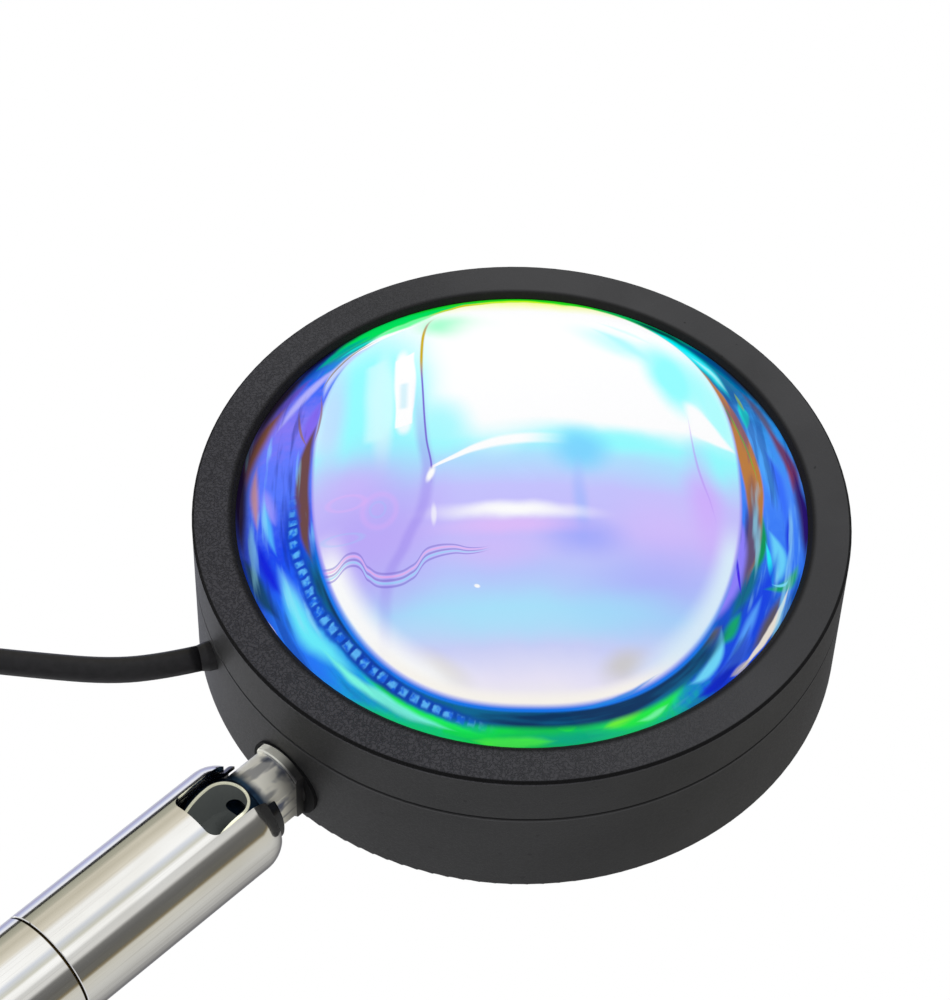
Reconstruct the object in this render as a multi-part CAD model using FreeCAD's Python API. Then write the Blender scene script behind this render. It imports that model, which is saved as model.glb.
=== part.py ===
# Sunset projection lamp: a short drum-shaped head with a dome lens, on a slotted ball swivel,
# a plated stem and a weighted round base, with a thin lead to a plug.
# Millimetres. +Z is up and the beam leaves towards -Y. The origin is the middle of the
# surface that the lamp stands on; the stem stands on the Z axis.
import FreeCAD
import Part
import math
import os

V = FreeCAD.Vector
Z_AXIS = V(0, 0, 1)
X_AXIS = V(1, 0, 0)

# --- head: depths are measured back from the front plane, radii from the beam axis ---
HEAD_R = 44.0
HEAD_DEPTH = 24.2
HEAD_Z = 236.0
BEZEL_DEPTH = 8.4
FACE_INNER_R = 38.8
EDGE_BREAK = 0.6
OUTER_BREAK = 0.4
BACK_ROUND = 0.8
GROOVE = 0.25
WALL = 1.7
BACK_WALL = 2.0
INNER_CORNER = 1.0
SPIGOT_DEPTH = 1.0
FIT = 0.1
LIP_LAND = 0.1
LENS_R = 40.6
LENS_SEAT_DEPTH = 0.9
LENS_SEAT_SLOPE = 1.4
LENS_PLAY = 0.2
LENS_RISE = 9.0
LENS_EDGE = 3.0
LENS_CHAMFER = 0.3
GASKET_T = 0.4
GASKET_W = 3.0
FILTER_R = 40.2
FILTER_T = 1.1
RING_T = 2.6
RING_INNER_R = 32.0
RING_LIP_T = 0.6
FUNNEL_W = 3.0
RING_RIBS = 72
RIB_PROUD = 0.2
RIB_FRONT_W = 1.0
RIB_BACK_T = 0.7
CHAMBER_WALL = 1.2
CHAMBER_MOUTH_R = 31.2
CHAMBER_THROAT_R = 7.0
CHAMBER_FLANGE_R = 37.0
BOARD_R = 16.0
BOARD_D = 18.6
BOARD_T = 1.6
EMITTER_SIDE = 9.0
EMITTER_CORNER = 0.8
EMITTER_T = 0.9
THROAT_GAP = 0.2
POST_R = 15.0
BOARD_SCREW_R = 1.0
BOARD_SCREW_CIRCLE = 12.6
SCREW_HEAD_R = 1.9
SCREW_HEAD_T = 1.3
SCREW_BITE = 0.6
BOSS_WALL = 2.6

# --- ball swivel: heights here are measured from the middle of the ball ---
NECK_DEPTH = 18.0
BALL_DROP = 55.1
BALL_R = 6.3
SEAT_GAP = 0.05
NECK_R = 4.9
NECK_FLATS = 7.4
FLANGE_R = 5.5
FLANGE_LOW = 9.6
FLANGE_HIGH = 10.9
FLANGE_BREAK = 0.2
SADDLE_R = 5.7
STUB_R = 4.0
STUB_TOP = 18.0
STUB_CHAMFER = 0.5
WIRE_BORE_R = 2.2
WINDOW_W = 5.8
WINDOW_TOP = 3.4
WINDOW_DEPTH = 7.6
SHELL_R = 7.9
SHELL_WALL = 0.85
SLOT_W = 8.0
SLOT_LOW = 5.2
SLOT_CORNER = 1.5
SHOULDER_HIGH = 1.2
MOUTH_HIGH = 4.0
MOUTH_R = 6.9
SHELL_BREAK = 0.15
LINER_SLOT_W = 7.6
LINER_SLOT_LOW = 5.0
LINER_LIP_R = 5.75
LINER_LIP_PROUD = 1.7
LINER_LIP_BREAK = 0.2
NECK_CLEAR = 0.25
CUP_HIGH = -5.2
CUP_LOW = -9.5
CUP_BORE_R = 2.6
SPRINGS = 4
SPRING_T = 0.6
SPRING_STEP = 1.5
SPRING_BORE_R = 3.2
SEAM_DROP = 30.3
SEAM_GAP = 0.3

# --- stem and base ---
TUBE_WALL = 0.8
SPINDLE_R = 4.0
SPINDLE_LENGTH = 17.5
PLUG_CHAMFER = 0.5
RUNNING = 0.05
BUSHING_LENGTH = 12.0
SPINDLE_WASHER_R = 6.3
SPINDLE_WASHER_T = 0.9
CLIP_R = 5.6
CLIP_T = 0.8
CLIP_DROP = 1.2
CLIP_MOUTH_W = 4.8
CLIP_GROOVE = 0.7
STOP_PIN_R = 0.9
STOP_PIN_DEPTH = 5.0
STOP_CIRCLE = 5.6
STOP_RISE = 1.5
STOP_CLEAR = 0.15
STOP_LUG_DEG = 10.0
BASE_R = 48.0
BASE_TOP = 12.5
BASE_EDGE = 2.5
BASE_SHEET = 1.5
SKIRT_Z = 1.0
PAD_T = 2.0
PAD_BREAK = 0.4
PAD_GAP = 0.4
WEIGHT_CORNER = 1.6
BOLT_WELL_R = 10.0
BOLT_WELL_DEPTH = 5.0
BOLT_R = 3.0
BOLT_CLEAR = 0.3
BOLT_HEAD_AF = 10.0
BOLT_HEAD_GAP = 0.2
BOLT_TOP = 27.0
BASE_WASHER_R = 8.5
BASE_WASHER_T = 1.0
INSERT_TOP = 32.0
INSERT_OVER = 2.0
FOOT_R = 12.0
FOOT_T = 3.6
FOOT_RIM_T = 1.0
FOOT_SHOULDER = 1.1
FOOT_CROWN = 0.9
FOOT_TOP_W = 0.6

# --- lead and plug ---
LEAD_D = 3.5
EXIT_DEG = 24.0
EXIT_DEPTH = 12.0
SLEEVE_DEG = 29.0
SLEEVE_LENGTH = 1.8
SLEEVE_SHOULDER = 0.8
SLEEVE_R = 2.0
SLEEVE_IN = 0.8
STOP_RING_R = 2.5
STOP_RING_T = 1.6
STOP_RING_GAP = 0.1
INNER_LEAD_R = 1.4
INNER_KNEE = 9.0
INNER_GOAL = (-12.4, -13.0)
FLOOR_GAP = 0.02
COIL_CENTRE = (-93.0, 10.0)
COIL_MEAN_R = 21.0
COIL_LAYERS = (2.25, 2.25, 2.25, 2.5)
TURN_PITCH = 4.1
LAYER_PITCH = 4.1
PLUG_AT = (-88.0, 48.0)
PLUG_BODY = (24.0, 13.0, 7.6)
GRIP_CORNER = 1.6
RELIEF = (6.5, 0.4, 1.4)
PLUG_SHELL = (18.6, 12.0, 4.5)
PLUG_SHEET = 0.35
LATCH_WINDOW = (2.4, 2.3)
LATCH_BACK = 7.6
LATCH_SIDE = 2.8
TONGUE_T = 1.85
TONGUE_BACK = 0.6
CONTACT_T = 0.2
CONTACT_W = 1.0
CONTACT_FROM = 4.0
CONTACT_BACK = 1.6
CONTACT_SIDES = (-3.5, -1.0, 1.0, 3.5)

# --- how far a cutter runs past its face, and how far joined stock overlaps ---
OVER = 1.0
SUNK = 0.1

# --- worked out from the above ---
FRONT_Y = -NECK_DEPTH
BALL_Z = HEAD_Z - BALL_DROP
TUBE_R = SHELL_R
SEAT_R = BALL_R + SEAT_GAP
BORE_R = SHELL_R - SHELL_WALL
SEAM_Z = BALL_Z - SEAM_DROP
TUBE_TOP = SEAM_Z - SEAM_GAP / 2
SHELL_LOW = SEAM_Z + SEAM_GAP / 2
LENS_BACK = LENS_SEAT_DEPTH + LENS_SEAT_SLOPE + LENS_EDGE
FILTER_D = LENS_BACK + GASKET_T
RING_D = FILTER_D + FILTER_T
CHAMBER_D = RING_D + RING_T
HOUSING_INNER_R = HEAD_R - WALL
BACK_D = HEAD_DEPTH - BACK_WALL
CORD_R = LEAD_D / 2


def save(shape, name):
    """Write one sub-part."""
    shape.exportStep("parts/" + name + ".step")
    print(f"{name:18s} solids {len(shape.Solids)} volume {shape.Volume:9.1f} valid {shape.isValid()}")


def turned(outline):
    """A solid of revolution about Z. The outline lists (r, z) corners; a pair of them in a
    tuple is an arc's middle and end."""
    def at(p):
        return V(p[0], 0, p[1])
    edges = []
    last = outline[0]
    for step in outline[1:] + [outline[0]]:
        if isinstance(step[0], tuple):
            edges.append(Part.Arc(at(last), at(step[0]), at(step[1])).toShape())
            last = step[1]
        elif step != last:
            edges.append(Part.LineSegment(at(last), at(step)).toShape())
            last = step
    face = Part.Face(Part.Wire(edges))
    return face.revolve(V(0, 0, 0), Z_AXIS, 360)


def arc_on(radius, start, end):
    """The middle and end of an arc on a sphere about the origin, from height start to height end."""
    low, high = math.asin(start / radius), math.asin(end / radius)
    half = (low + high) / 2
    middle = (radius * math.cos(half), radius * math.sin(half))
    return (middle, (radius * math.cos(high), end))


def into_head(shape):
    """Turn a shape made with Z as depth behind the front plane into the head's place."""
    moved = shape.copy()
    moved.rotate(V(0, 0, 0), X_AXIS, -90)
    moved.translate(V(0, FRONT_Y, HEAD_Z))
    return moved


def cylinder(radius, low, high, x=0.0, y=0.0):
    return Part.makeCylinder(radius, high - low, V(x, y, low))


def block(x0, x1, y0, y1, z0, z1):
    return Part.makeBox(x1 - x0, y1 - y0, z1 - z0, V(x0, y0, z0))


def hexagon(across_flats, low, high):
    """A hexagonal prism on the Z axis."""
    corner = across_flats / 2 / math.cos(math.pi / 6)
    points = [V(corner * math.cos(a), corner * math.sin(a), low)
              for a in (math.pi / 3 * k for k in range(7))]
    return Part.Face(Part.makePolygon(points)).extrude(V(0, 0, high - low))


def stadium(width, low, high, y0, y1):
    """A cutter along Y with straight sides, a flat low end and a rounded high end."""
    half = width / 2
    spring = high - half
    edges = [Part.LineSegment(V(-half, y0, spring), V(-half, y0, low)).toShape(),
             Part.LineSegment(V(-half, y0, low), V(half, y0, low)).toShape(),
             Part.LineSegment(V(half, y0, low), V(half, y0, spring)).toShape(),
             Part.Arc(V(half, y0, spring), V(0, y0, high), V(-half, y0, spring)).toShape()]
    return Part.Face(Part.Wire(edges)).extrude(V(0, y1 - y0, 0))


# ---------------------------------------------------------------- head

def front_bezel():
    """The threaded front ring: a flat face with broken edges, a bore for the lens and a spigot."""
    lip = FACE_INNER_R - EDGE_BREAK
    seat = LENS_R + LENS_PLAY
    spigot_r = HOUSING_INNER_R - FIT
    return into_head(turned([
        (FACE_INNER_R, 0.0),
        (HEAD_R - OUTER_BREAK, 0.0),
        (HEAD_R, OUTER_BREAK),
        (HEAD_R, BEZEL_DEPTH - GROOVE),
        (HEAD_R - GROOVE, BEZEL_DEPTH),
        (spigot_r, BEZEL_DEPTH),
        (spigot_r, BEZEL_DEPTH + SPIGOT_DEPTH),
        (seat, BEZEL_DEPTH + SPIGOT_DEPTH),
        (seat, LENS_SEAT_DEPTH + LENS_SEAT_SLOPE),
        (lip, LENS_SEAT_DEPTH - LIP_LAND),
        (lip, EDGE_BREAK),
    ]))


def lens_sphere():
    """The radius of the lens's front, which meets the lip at its seat and stands LENS_RISE proud."""
    sagitta = LENS_RISE + LENS_SEAT_DEPTH
    lip = FACE_INNER_R - EDGE_BREAK
    return (lip * lip + sagitta * sagitta) / (2 * sagitta)


def dome_lens():
    """A thick plano-convex glass, with its flat side back and a ground cylindrical edge."""
    ball = lens_sphere()
    centre = ball - LENS_RISE
    edge_front = centre - math.sqrt(ball * ball - LENS_R * LENS_R)
    half = math.asin(LENS_R / ball) / 2
    middle = (ball * math.sin(half), centre - ball * math.cos(half))
    return into_head(turned([
        (0.0, LENS_BACK),
        (0.0, -LENS_RISE),
        (middle, (LENS_R, edge_front)),
        (LENS_R, LENS_BACK - LENS_CHAMFER),
        (LENS_R - LENS_CHAMFER, LENS_BACK),
    ]))


def lens_gasket():
    return into_head(turned([
        (LENS_R - GASKET_W, LENS_BACK),
        (LENS_R, LENS_BACK),
        (LENS_R, FILTER_D),
        (LENS_R - GASKET_W, FILTER_D),
    ]))


def dichroic_filter():
    return into_head(cylinder(FILTER_R, FILTER_D, RING_D))


def retaining_ring():
    """The ring that screws in behind the filter, with a ribbed funnel that faces the lens."""
    outer = LENS_R + FIT
    low = CHAMBER_D - RING_LIP_T
    ring = turned([
        (RING_INNER_R + FUNNEL_W, RING_D),
        (outer, RING_D),
        (outer, CHAMBER_D),
        (RING_INNER_R, CHAMBER_D),
        (RING_INNER_R, low),
    ])
    rib_arc = math.pi * RING_INNER_R / RING_RIBS
    ribs = []
    for k in range(RING_RIBS):
        corners = [V(RING_INNER_R - RIB_PROUD, 0, low - SUNK),
                   V(RING_INNER_R + FUNNEL_W + SUNK, 0, RING_D),
                   V(RING_INNER_R + RIB_FRONT_W, 0, RING_D),
                   V(RING_INNER_R - RIB_PROUD, 0, low - RIB_BACK_T)]
        rib = Part.Face(Part.makePolygon(corners + corners[:1]))
        rib.translate(V(0, -rib_arc / 2, 0))
        rib = rib.extrude(V(0, rib_arc, 0))
        rib.rotate(V(0, 0, 0), Z_AXIS, 360.0 / RING_RIBS * k)
        ribs.append(rib)
    return into_head(ring.fuse(ribs).removeSplitter())


def light_chamber():
    """The white funnel between the light source and the filter, with a flange at its mouth."""
    depth = BOARD_D - EMITTER_T - THROAT_GAP
    flange_back = CHAMBER_D + CHAMBER_WALL
    return into_head(turned([
        (CHAMBER_MOUTH_R, CHAMBER_D),
        (CHAMBER_FLANGE_R, CHAMBER_D),
        (CHAMBER_FLANGE_R, flange_back),
        (CHAMBER_MOUTH_R + CHAMBER_WALL, flange_back),
        (CHAMBER_THROAT_R + CHAMBER_WALL, depth),
        (CHAMBER_THROAT_R, depth),
    ]))


def led_board():
    board = cylinder(BOARD_R, BOARD_D, BOARD_D + BOARD_T)
    for x in (-BOARD_SCREW_CIRCLE, BOARD_SCREW_CIRCLE):
        board = board.cut(cylinder(BOARD_SCREW_R + FIT, BOARD_D - OVER, BACK_D, x))
    return into_head(board)


def led_emitter():
    half = EMITTER_SIDE / 2
    square = block(-half, half, -half, half, BOARD_D - EMITTER_T, BOARD_D)
    upright = [e for e in square.Edges if abs(e.tangentAt(0).z) > 0.9]
    return into_head(square.makeFillet(EMITTER_CORNER, upright))


def board_screws():
    screws = []
    for x in (-BOARD_SCREW_CIRCLE, BOARD_SCREW_CIRCLE):
        head = cylinder(SCREW_HEAD_R, BOARD_D - SCREW_HEAD_T, BOARD_D, x)
        shank = cylinder(BOARD_SCREW_R, BOARD_D - SUNK, BACK_D + SCREW_BITE, x)
        screws.append(into_head(head.fuse(shank).removeSplitter()))
    return Part.makeCompound(screws)


def exit_point():
    """Where the lead's middle crosses the outside of the head's wall."""
    turn = math.radians(EXIT_DEG)
    return V(-HEAD_R * math.sin(turn), FRONT_Y + EXIT_DEPTH, HEAD_Z - HEAD_R * math.cos(turn))


def sleeve_direction():
    turn = math.radians(SLEEVE_DEG)
    return V(-math.sin(turn), 0, -math.cos(turn))


def rear_housing():
    """The rear cup, with a boss for the swivel's stub, posts for the board and a hole for the lead."""
    half_turn = BACK_ROUND * (1 - math.sqrt(0.5))
    cup = turned([
        (0.0, HEAD_DEPTH),
        (HEAD_R - BACK_ROUND, HEAD_DEPTH),
        ((HEAD_R - half_turn, HEAD_DEPTH - half_turn), (HEAD_R, HEAD_DEPTH - BACK_ROUND)),
        (HEAD_R, BEZEL_DEPTH + GROOVE),
        (HEAD_R - GROOVE, BEZEL_DEPTH),
        (HOUSING_INNER_R, BEZEL_DEPTH),
        (HOUSING_INNER_R, BACK_D - INNER_CORNER),
        (HOUSING_INNER_R - INNER_CORNER, BACK_D),
        (0.0, BACK_D),
    ])
    cup = cup.fuse(cylinder(POST_R, BOARD_D + BOARD_T, BACK_D + SCREW_BITE))
    for x in (-BOARD_SCREW_CIRCLE, BOARD_SCREW_CIRCLE):
        cup = cup.cut(cylinder(BOARD_SCREW_R, BOARD_D, BACK_D + SCREW_BITE, x))
    cup = into_head(cup)
    wall_z = HEAD_Z - HEAD_R
    boss_r = STUB_R + BOSS_WALL
    boss_top = BALL_Z + STUB_TOP
    boss_back = FRONT_Y + BACK_D + BACK_WALL / 4
    boss = cylinder(boss_r, wall_z + WALL / 2, boss_top)
    boss = boss.fuse(block(-boss_r, boss_r, 0, boss_back, wall_z + WALL * 0.7, boss_top))
    boss = boss.common(block(-HEAD_R, HEAD_R, -HEAD_R, boss_back, wall_z, HEAD_Z))
    cup = cup.fuse(boss).cut(cylinder(STUB_R + FIT / 2, wall_z - OVER, boss_top + OVER))
    inward = sleeve_direction() * -1
    hole = Part.makeCylinder(SLEEVE_R, WALL * 8, exit_point() - inward * WALL * 4, inward)
    return cup.cut(hole).removeSplitter()


def cable_grommet():
    """The moulded sleeve round the lead where it leaves the wall, tapering to the lead."""
    sleeve = turned([
        (0.0, -WALL - SLEEVE_IN),
        (SLEEVE_R, -WALL - SLEEVE_IN),
        (SLEEVE_R, SLEEVE_SHOULDER),
        (CORD_R, SLEEVE_LENGTH),
        (0.0, SLEEVE_LENGTH),
    ])
    return placed_along(sleeve, exit_point(), sleeve_direction())


def placed_along(shape, origin, direction):
    """Turn a shape made along Z to a direction and move it there."""
    moved = shape.copy()
    turn = FreeCAD.Rotation(Z_AXIS, direction)
    moved.Placement = FreeCAD.Placement(origin, turn)
    return moved


def cable_stop():
    """The tie on the lead inside the wall that takes its pull."""
    start = exit_point() - sleeve_direction() * (WALL + SLEEVE_IN + STOP_RING_GAP)
    ring = Part.makeCylinder(STOP_RING_R, STOP_RING_T)
    ring = ring.cut(Part.makeCylinder(INNER_LEAD_R, STOP_RING_T))
    return placed_along(ring, start, sleeve_direction() * -1)


def inner_lead():
    """The lead's last stretch inside the housing, up to the board."""
    inward = sleeve_direction() * -1
    start = exit_point() + inward * (WALL + SLEEVE_IN)
    knee = start + inward * INNER_KNEE
    goal = V(INNER_GOAL[0], FRONT_Y + BOARD_D + BOARD_T / 2, HEAD_Z + INNER_GOAL[1])
    return tube_through([start, knee, goal], INNER_LEAD_R)


# ---------------------------------------------------------------- tubes through points

def corner_arcs(points):
    """Trim each corner to a tangent arc: 0.45 of the shorter run, over the tangent of half the turn."""
    edges = []
    radii = []
    start = points[0]
    for before, corner, after in zip(points, points[1:], points[2:]):
        back = before - corner
        ahead = after - corner
        trim = 0.45 * min(back.Length, ahead.Length)
        back.normalize()
        ahead.normalize()
        turn = math.pi - back.getAngle(ahead)
        radius = trim / math.tan(turn / 2)
        first = corner + back * trim
        last = corner + ahead * trim
        inside = (back + ahead).normalize()
        middle = corner + inside * (radius / math.cos(turn / 2) - radius)
        edges.append(Part.LineSegment(start, first).toShape())
        edges.append(Part.Arc(first, middle, last).toShape())
        radii.append(radius)
        start = last
    edges.append(Part.LineSegment(start, points[-1]).toShape())
    return edges, radii


def tube_through(points, radius):
    edges, radii = corner_arcs(points)
    path = Part.Wire(edges)
    direction = points[1] - points[0]
    ring = Part.Wire([Part.makeCircle(radius, points[0], direction)])
    tube = path.makePipeShell([ring], True, False)
    smallest = min(radii)
    ratio = tube.Volume / (math.pi * radius * radius * path.Length)
    print(f"tube r {radius} length {path.Length:.1f} tightest bend {smallest:.1f} volume ratio {ratio:.4f}")
    print("   radii " + " ".join(f"{r:.0f}" for r in radii))
    return tube


# ---------------------------------------------------------------- ball swivel

def swivel_ball():
    """Ball, neck and threaded stub in one turned piece, with flats, a wire window and a bore."""
    neck_at = math.sqrt(BALL_R * BALL_R - NECK_R * NECK_R)
    ball = turned([
        (0.0, -BALL_R),
        arc_on(BALL_R, -BALL_R, neck_at),
        (NECK_R, FLANGE_LOW),
        (FLANGE_R - FLANGE_BREAK, FLANGE_LOW),
        (FLANGE_R, FLANGE_LOW + FLANGE_BREAK),
        (FLANGE_R, FLANGE_HIGH),
        (STUB_R, FLANGE_HIGH),
        (STUB_R, STUB_TOP - STUB_CHAMFER),
        (STUB_R - STUB_CHAMFER, STUB_TOP),
        (0.0, STUB_TOP),
    ])
    half = NECK_FLATS / 2
    wide = FLANGE_R + OVER
    ball = ball.cut(block(half, wide, -wide, wide, neck_at, FLANGE_HIGH))
    ball = ball.cut(block(-wide, -half, -wide, wide, neck_at, FLANGE_HIGH))
    past = -BALL_R - OVER
    ball = ball.cut(stadium(WINDOW_W, past, WINDOW_TOP, past, WINDOW_DEPTH - BALL_R))
    ball = ball.cut(cylinder(WIRE_BORE_R, 0, STUB_TOP + OVER))
    ball.translate(V(0, 0, BALL_Z))
    return ball.removeSplitter()


def neck_washer():
    """The black saddle washer that fills between the flange and the round wall."""
    saddle = cylinder(SADDLE_R, BALL_Z + FLANGE_HIGH, BALL_Z + BALL_DROP - HEAD_R + OVER)
    drum = Part.makeCylinder(HEAD_R, SADDLE_R * 4, V(0, -SADDLE_R * 2, HEAD_Z), V(0, 1, 0))
    saddle = saddle.cut(drum)
    return saddle.cut(cylinder(STUB_R + FIT / 2, BALL_Z, HEAD_Z))


def slot_cutter(width, low, corner):
    """The tilt slot: open at the mouth, flat at its closed end with rounded corners."""
    half = width / 2
    slot = block(-half, half, -SHELL_R - OVER, 0, -low, SHELL_R * 2)
    corners = [e for e in slot.Edges if abs(e.tangentAt(0).y) > 0.9 and e.CenterOfMass.z < 0]
    return slot.makeFillet(corner, corners)


def swivel_shell():
    """The plated shell: a tube with a domed, truncated end, slotted at the front."""
    mouth_in = math.sqrt(BORE_R * BORE_R - MOUTH_HIGH * MOUTH_HIGH)
    rise = MOUTH_HIGH - SHOULDER_HIGH
    draw_in = SHELL_R - MOUTH_R
    shoulder_r = (rise * rise + draw_in * draw_in) / (2 * draw_in)
    half = math.asin(rise / shoulder_r) / 2
    shoulder = (SHELL_R - shoulder_r * (1 - math.cos(half)), SHOULDER_HIGH + shoulder_r * math.sin(half))
    low = SHELL_LOW - BALL_Z
    shell = turned([
        (SHELL_R - SHELL_BREAK, low),
        (SHELL_R, low + SHELL_BREAK),
        (SHELL_R, SHOULDER_HIGH),
        (shoulder, (MOUTH_R, MOUTH_HIGH)),
        (mouth_in, MOUTH_HIGH),
        arc_on(BORE_R, MOUTH_HIGH, 0.0),
        (BORE_R, low),
    ])
    shell = shell.cut(slot_cutter(SLOT_W, SLOT_LOW, SLOT_CORNER))
    shell.translate(V(0, 0, BALL_Z))
    return shell.removeSplitter()


def ball_liner():
    """The black nylon liner that grips the ball, with a lip that stands proud of the mouth."""
    outer = BORE_R - SEAT_GAP
    lip_in = NECK_R + NECK_CLEAR
    lip_low = math.sqrt(outer * outer - LINER_LIP_R * LINER_LIP_R)
    lip_high = MOUTH_HIGH + LINER_LIP_PROUD
    seat_high = math.sqrt(SEAT_R * SEAT_R - lip_in * lip_in)
    low = CUP_LOW - SPRINGS * SPRING_STEP
    liner = turned([
        (outer, low),
        (outer, 0.0),
        arc_on(outer, 0.0, lip_low),
        (LINER_LIP_R, lip_high - LINER_LIP_BREAK),
        (LINER_LIP_R - LINER_LIP_BREAK, lip_high),
        (lip_in, lip_high),
        (lip_in, seat_high),
        arc_on(SEAT_R, seat_high, 0.0),
        (SEAT_R, low),
    ])
    liner = liner.cut(slot_cutter(LINER_SLOT_W, LINER_SLOT_LOW, SLOT_CORNER))
    liner.translate(V(0, 0, BALL_Z))
    return liner.removeSplitter()


def ball_seat_cup():
    """The nylon cup that presses on the ball from below."""
    cup = cylinder(SEAT_R, CUP_LOW, CUP_HIGH)
    cup = cup.cut(cylinder(CUP_BORE_R, CUP_LOW - OVER, CUP_HIGH + OVER))
    cup = cup.cut(Part.makeSphere(SEAT_R))
    cup.translate(V(0, 0, BALL_Z))
    return cup


def disc_springs():
    """Four dished spring washers, stacked back to back under the cup."""
    washers = []
    for k in range(SPRINGS):
        high = CUP_LOW - k * SPRING_STEP
        low = high - SPRING_STEP
        rising = k % 2 == 0
        inner, outer = (high, low + SPRING_T) if rising else (low + SPRING_T, high)
        rim = SEAT_R - FIT
        washer = turned([
            (SPRING_BORE_R, inner),
            (rim, outer),
            (rim, outer - SPRING_T),
            (SPRING_BORE_R, inner - SPRING_T),
        ])
        washer.translate(V(0, 0, BALL_Z))
        washers.append(washer)
    return Part.makeCompound(washers)


def swivel_plug():
    """The plug screwed into the shell, with the spindle that turns in the stem's bushing."""
    top = CUP_LOW - SPRINGS * SPRING_STEP + BALL_Z
    low = SEAM_Z + RUNNING
    end = low - SPINDLE_LENGTH
    clip = low - BUSHING_LENGTH - CLIP_DROP
    clip_end = clip - CLIP_T - FIT
    plug = turned([
        (0.0, top),
        (BORE_R - PLUG_CHAMFER, top),
        (BORE_R, top - PLUG_CHAMFER),
        (BORE_R, low),
        (SPINDLE_R, low),
        (SPINDLE_R, clip),
        (SPINDLE_R - CLIP_GROOVE, clip),
        (SPINDLE_R - CLIP_GROOVE, clip_end),
        (SPINDLE_R, clip_end),
        (SPINDLE_R, end + PLUG_CHAMFER),
        (SPINDLE_R - PLUG_CHAMFER, end),
        (0.0, end),
    ])
    groove_in = STOP_CIRCLE - STOP_PIN_R - STOP_CLEAR
    groove_out = STOP_CIRCLE + STOP_PIN_R + STOP_CLEAR
    groove = cylinder(groove_out, low - OVER, low + STOP_RISE + STOP_CLEAR * 2)
    groove = groove.cut(cylinder(groove_in, low - OVER * 2, low + STOP_RISE + OVER))
    half_lug = STOP_CIRCLE * math.radians(STOP_LUG_DEG) / 2
    lug = block(-half_lug, half_lug, -BORE_R, 0, low - OVER, low + STOP_RISE + OVER)
    return plug.cut(groove.cut(lug)).removeSplitter()


def spindle_clip():
    """The open retaining ring in the spindle's groove, under its washer."""
    high = SEAM_Z - BUSHING_LENGTH - CLIP_DROP
    low = high - CLIP_T
    bore = SPINDLE_R - CLIP_GROOVE + RUNNING
    ring = cylinder(CLIP_R, low, high).cut(cylinder(bore, low - OVER, high + OVER))
    half = CLIP_MOUTH_W / 2
    return ring.cut(block(-half, half, -CLIP_R - OVER, 0, low - OVER, high + OVER))


def spindle_washer():
    high = SEAM_Z - BUSHING_LENGTH - FIT
    low = high - SPINDLE_WASHER_T
    washer = cylinder(SPINDLE_WASHER_R, low, high)
    return washer.cut(cylinder(SPINDLE_R + FIT / 2, low - OVER, high + OVER))


# ---------------------------------------------------------------- stem and base

def tube_bushing():
    """The bearing pressed into the top of the stem, bored for the spindle and the stop pin."""
    low = SEAM_Z - BUSHING_LENGTH
    bushing = cylinder(TUBE_R - TUBE_WALL, low, SEAM_Z)
    bushing = bushing.cut(cylinder(SPINDLE_R + RUNNING, low - OVER, SEAM_Z + OVER))
    pin_hole = cylinder(STOP_PIN_R, SEAM_Z - STOP_PIN_DEPTH, SEAM_Z + OVER, 0, STOP_CIRCLE)
    return bushing.cut(pin_hole)


def turn_stop_pin():
    return cylinder(STOP_PIN_R, SEAM_Z - STOP_PIN_DEPTH, SEAM_Z + STOP_RISE, 0, STOP_CIRCLE)


def stem_tube():
    bore = cylinder(TUBE_R - TUBE_WALL, BASE_TOP - OVER, TUBE_TOP + OVER)
    return cylinder(TUBE_R, BASE_TOP, TUBE_TOP).cut(bore)


def stem_insert():
    """The threaded slug in the foot of the stem."""
    slug = cylinder(TUBE_R - TUBE_WALL, BASE_TOP, INSERT_TOP)
    return slug.cut(cylinder(BOLT_R, BASE_TOP - OVER, BOLT_TOP + INSERT_OVER))


def stem_foot():
    """The plated rosette that hides where the stem meets the base."""
    return turned([
        (TUBE_R, BASE_TOP),
        (FOOT_R, BASE_TOP),
        (FOOT_R, BASE_TOP + FOOT_RIM_T),
        ((FOOT_R - FOOT_SHOULDER, BASE_TOP + FOOT_T - FOOT_CROWN),
         (TUBE_R + FOOT_TOP_W, BASE_TOP + FOOT_T)),
        (TUBE_R, BASE_TOP + FOOT_T),
    ])


def base_cover():
    """The pressed and painted cover of the base, open below, with a rolled edge."""
    inner = BASE_R - BASE_SHEET
    under = BASE_TOP - BASE_SHEET
    round_in = BASE_EDGE - BASE_SHEET
    mid_out = BASE_EDGE * (1 - math.sqrt(0.5))
    mid_in = round_in * (1 - math.sqrt(0.5))
    return turned([
        (BOLT_R + BOLT_CLEAR, BASE_TOP),
        (BASE_R - BASE_EDGE, BASE_TOP),
        ((BASE_R - mid_out, BASE_TOP - mid_out), (BASE_R, BASE_TOP - BASE_EDGE)),
        (BASE_R, SKIRT_Z),
        (inner, SKIRT_Z),
        (inner, BASE_TOP - BASE_EDGE),
        ((inner - mid_in, under - mid_in), (inner - round_in, under)),
        (BOLT_R + BOLT_CLEAR, under),
    ])


def base_weight():
    """The cast disc that keeps the lamp upright, recessed below for the bolt's head."""
    top = BASE_TOP - BASE_SHEET
    outer = BASE_R - BASE_SHEET - PAD_GAP
    well = PAD_T + BOLT_WELL_DEPTH
    return turned([
        (BOLT_R + BOLT_CLEAR, top),
        (outer - WEIGHT_CORNER, top),
        (outer, top - WEIGHT_CORNER),
        (outer, PAD_T),
        (BOLT_WELL_R, PAD_T),
        (BOLT_WELL_R, well),
        (BOLT_R + BOLT_CLEAR, well),
    ])


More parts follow.
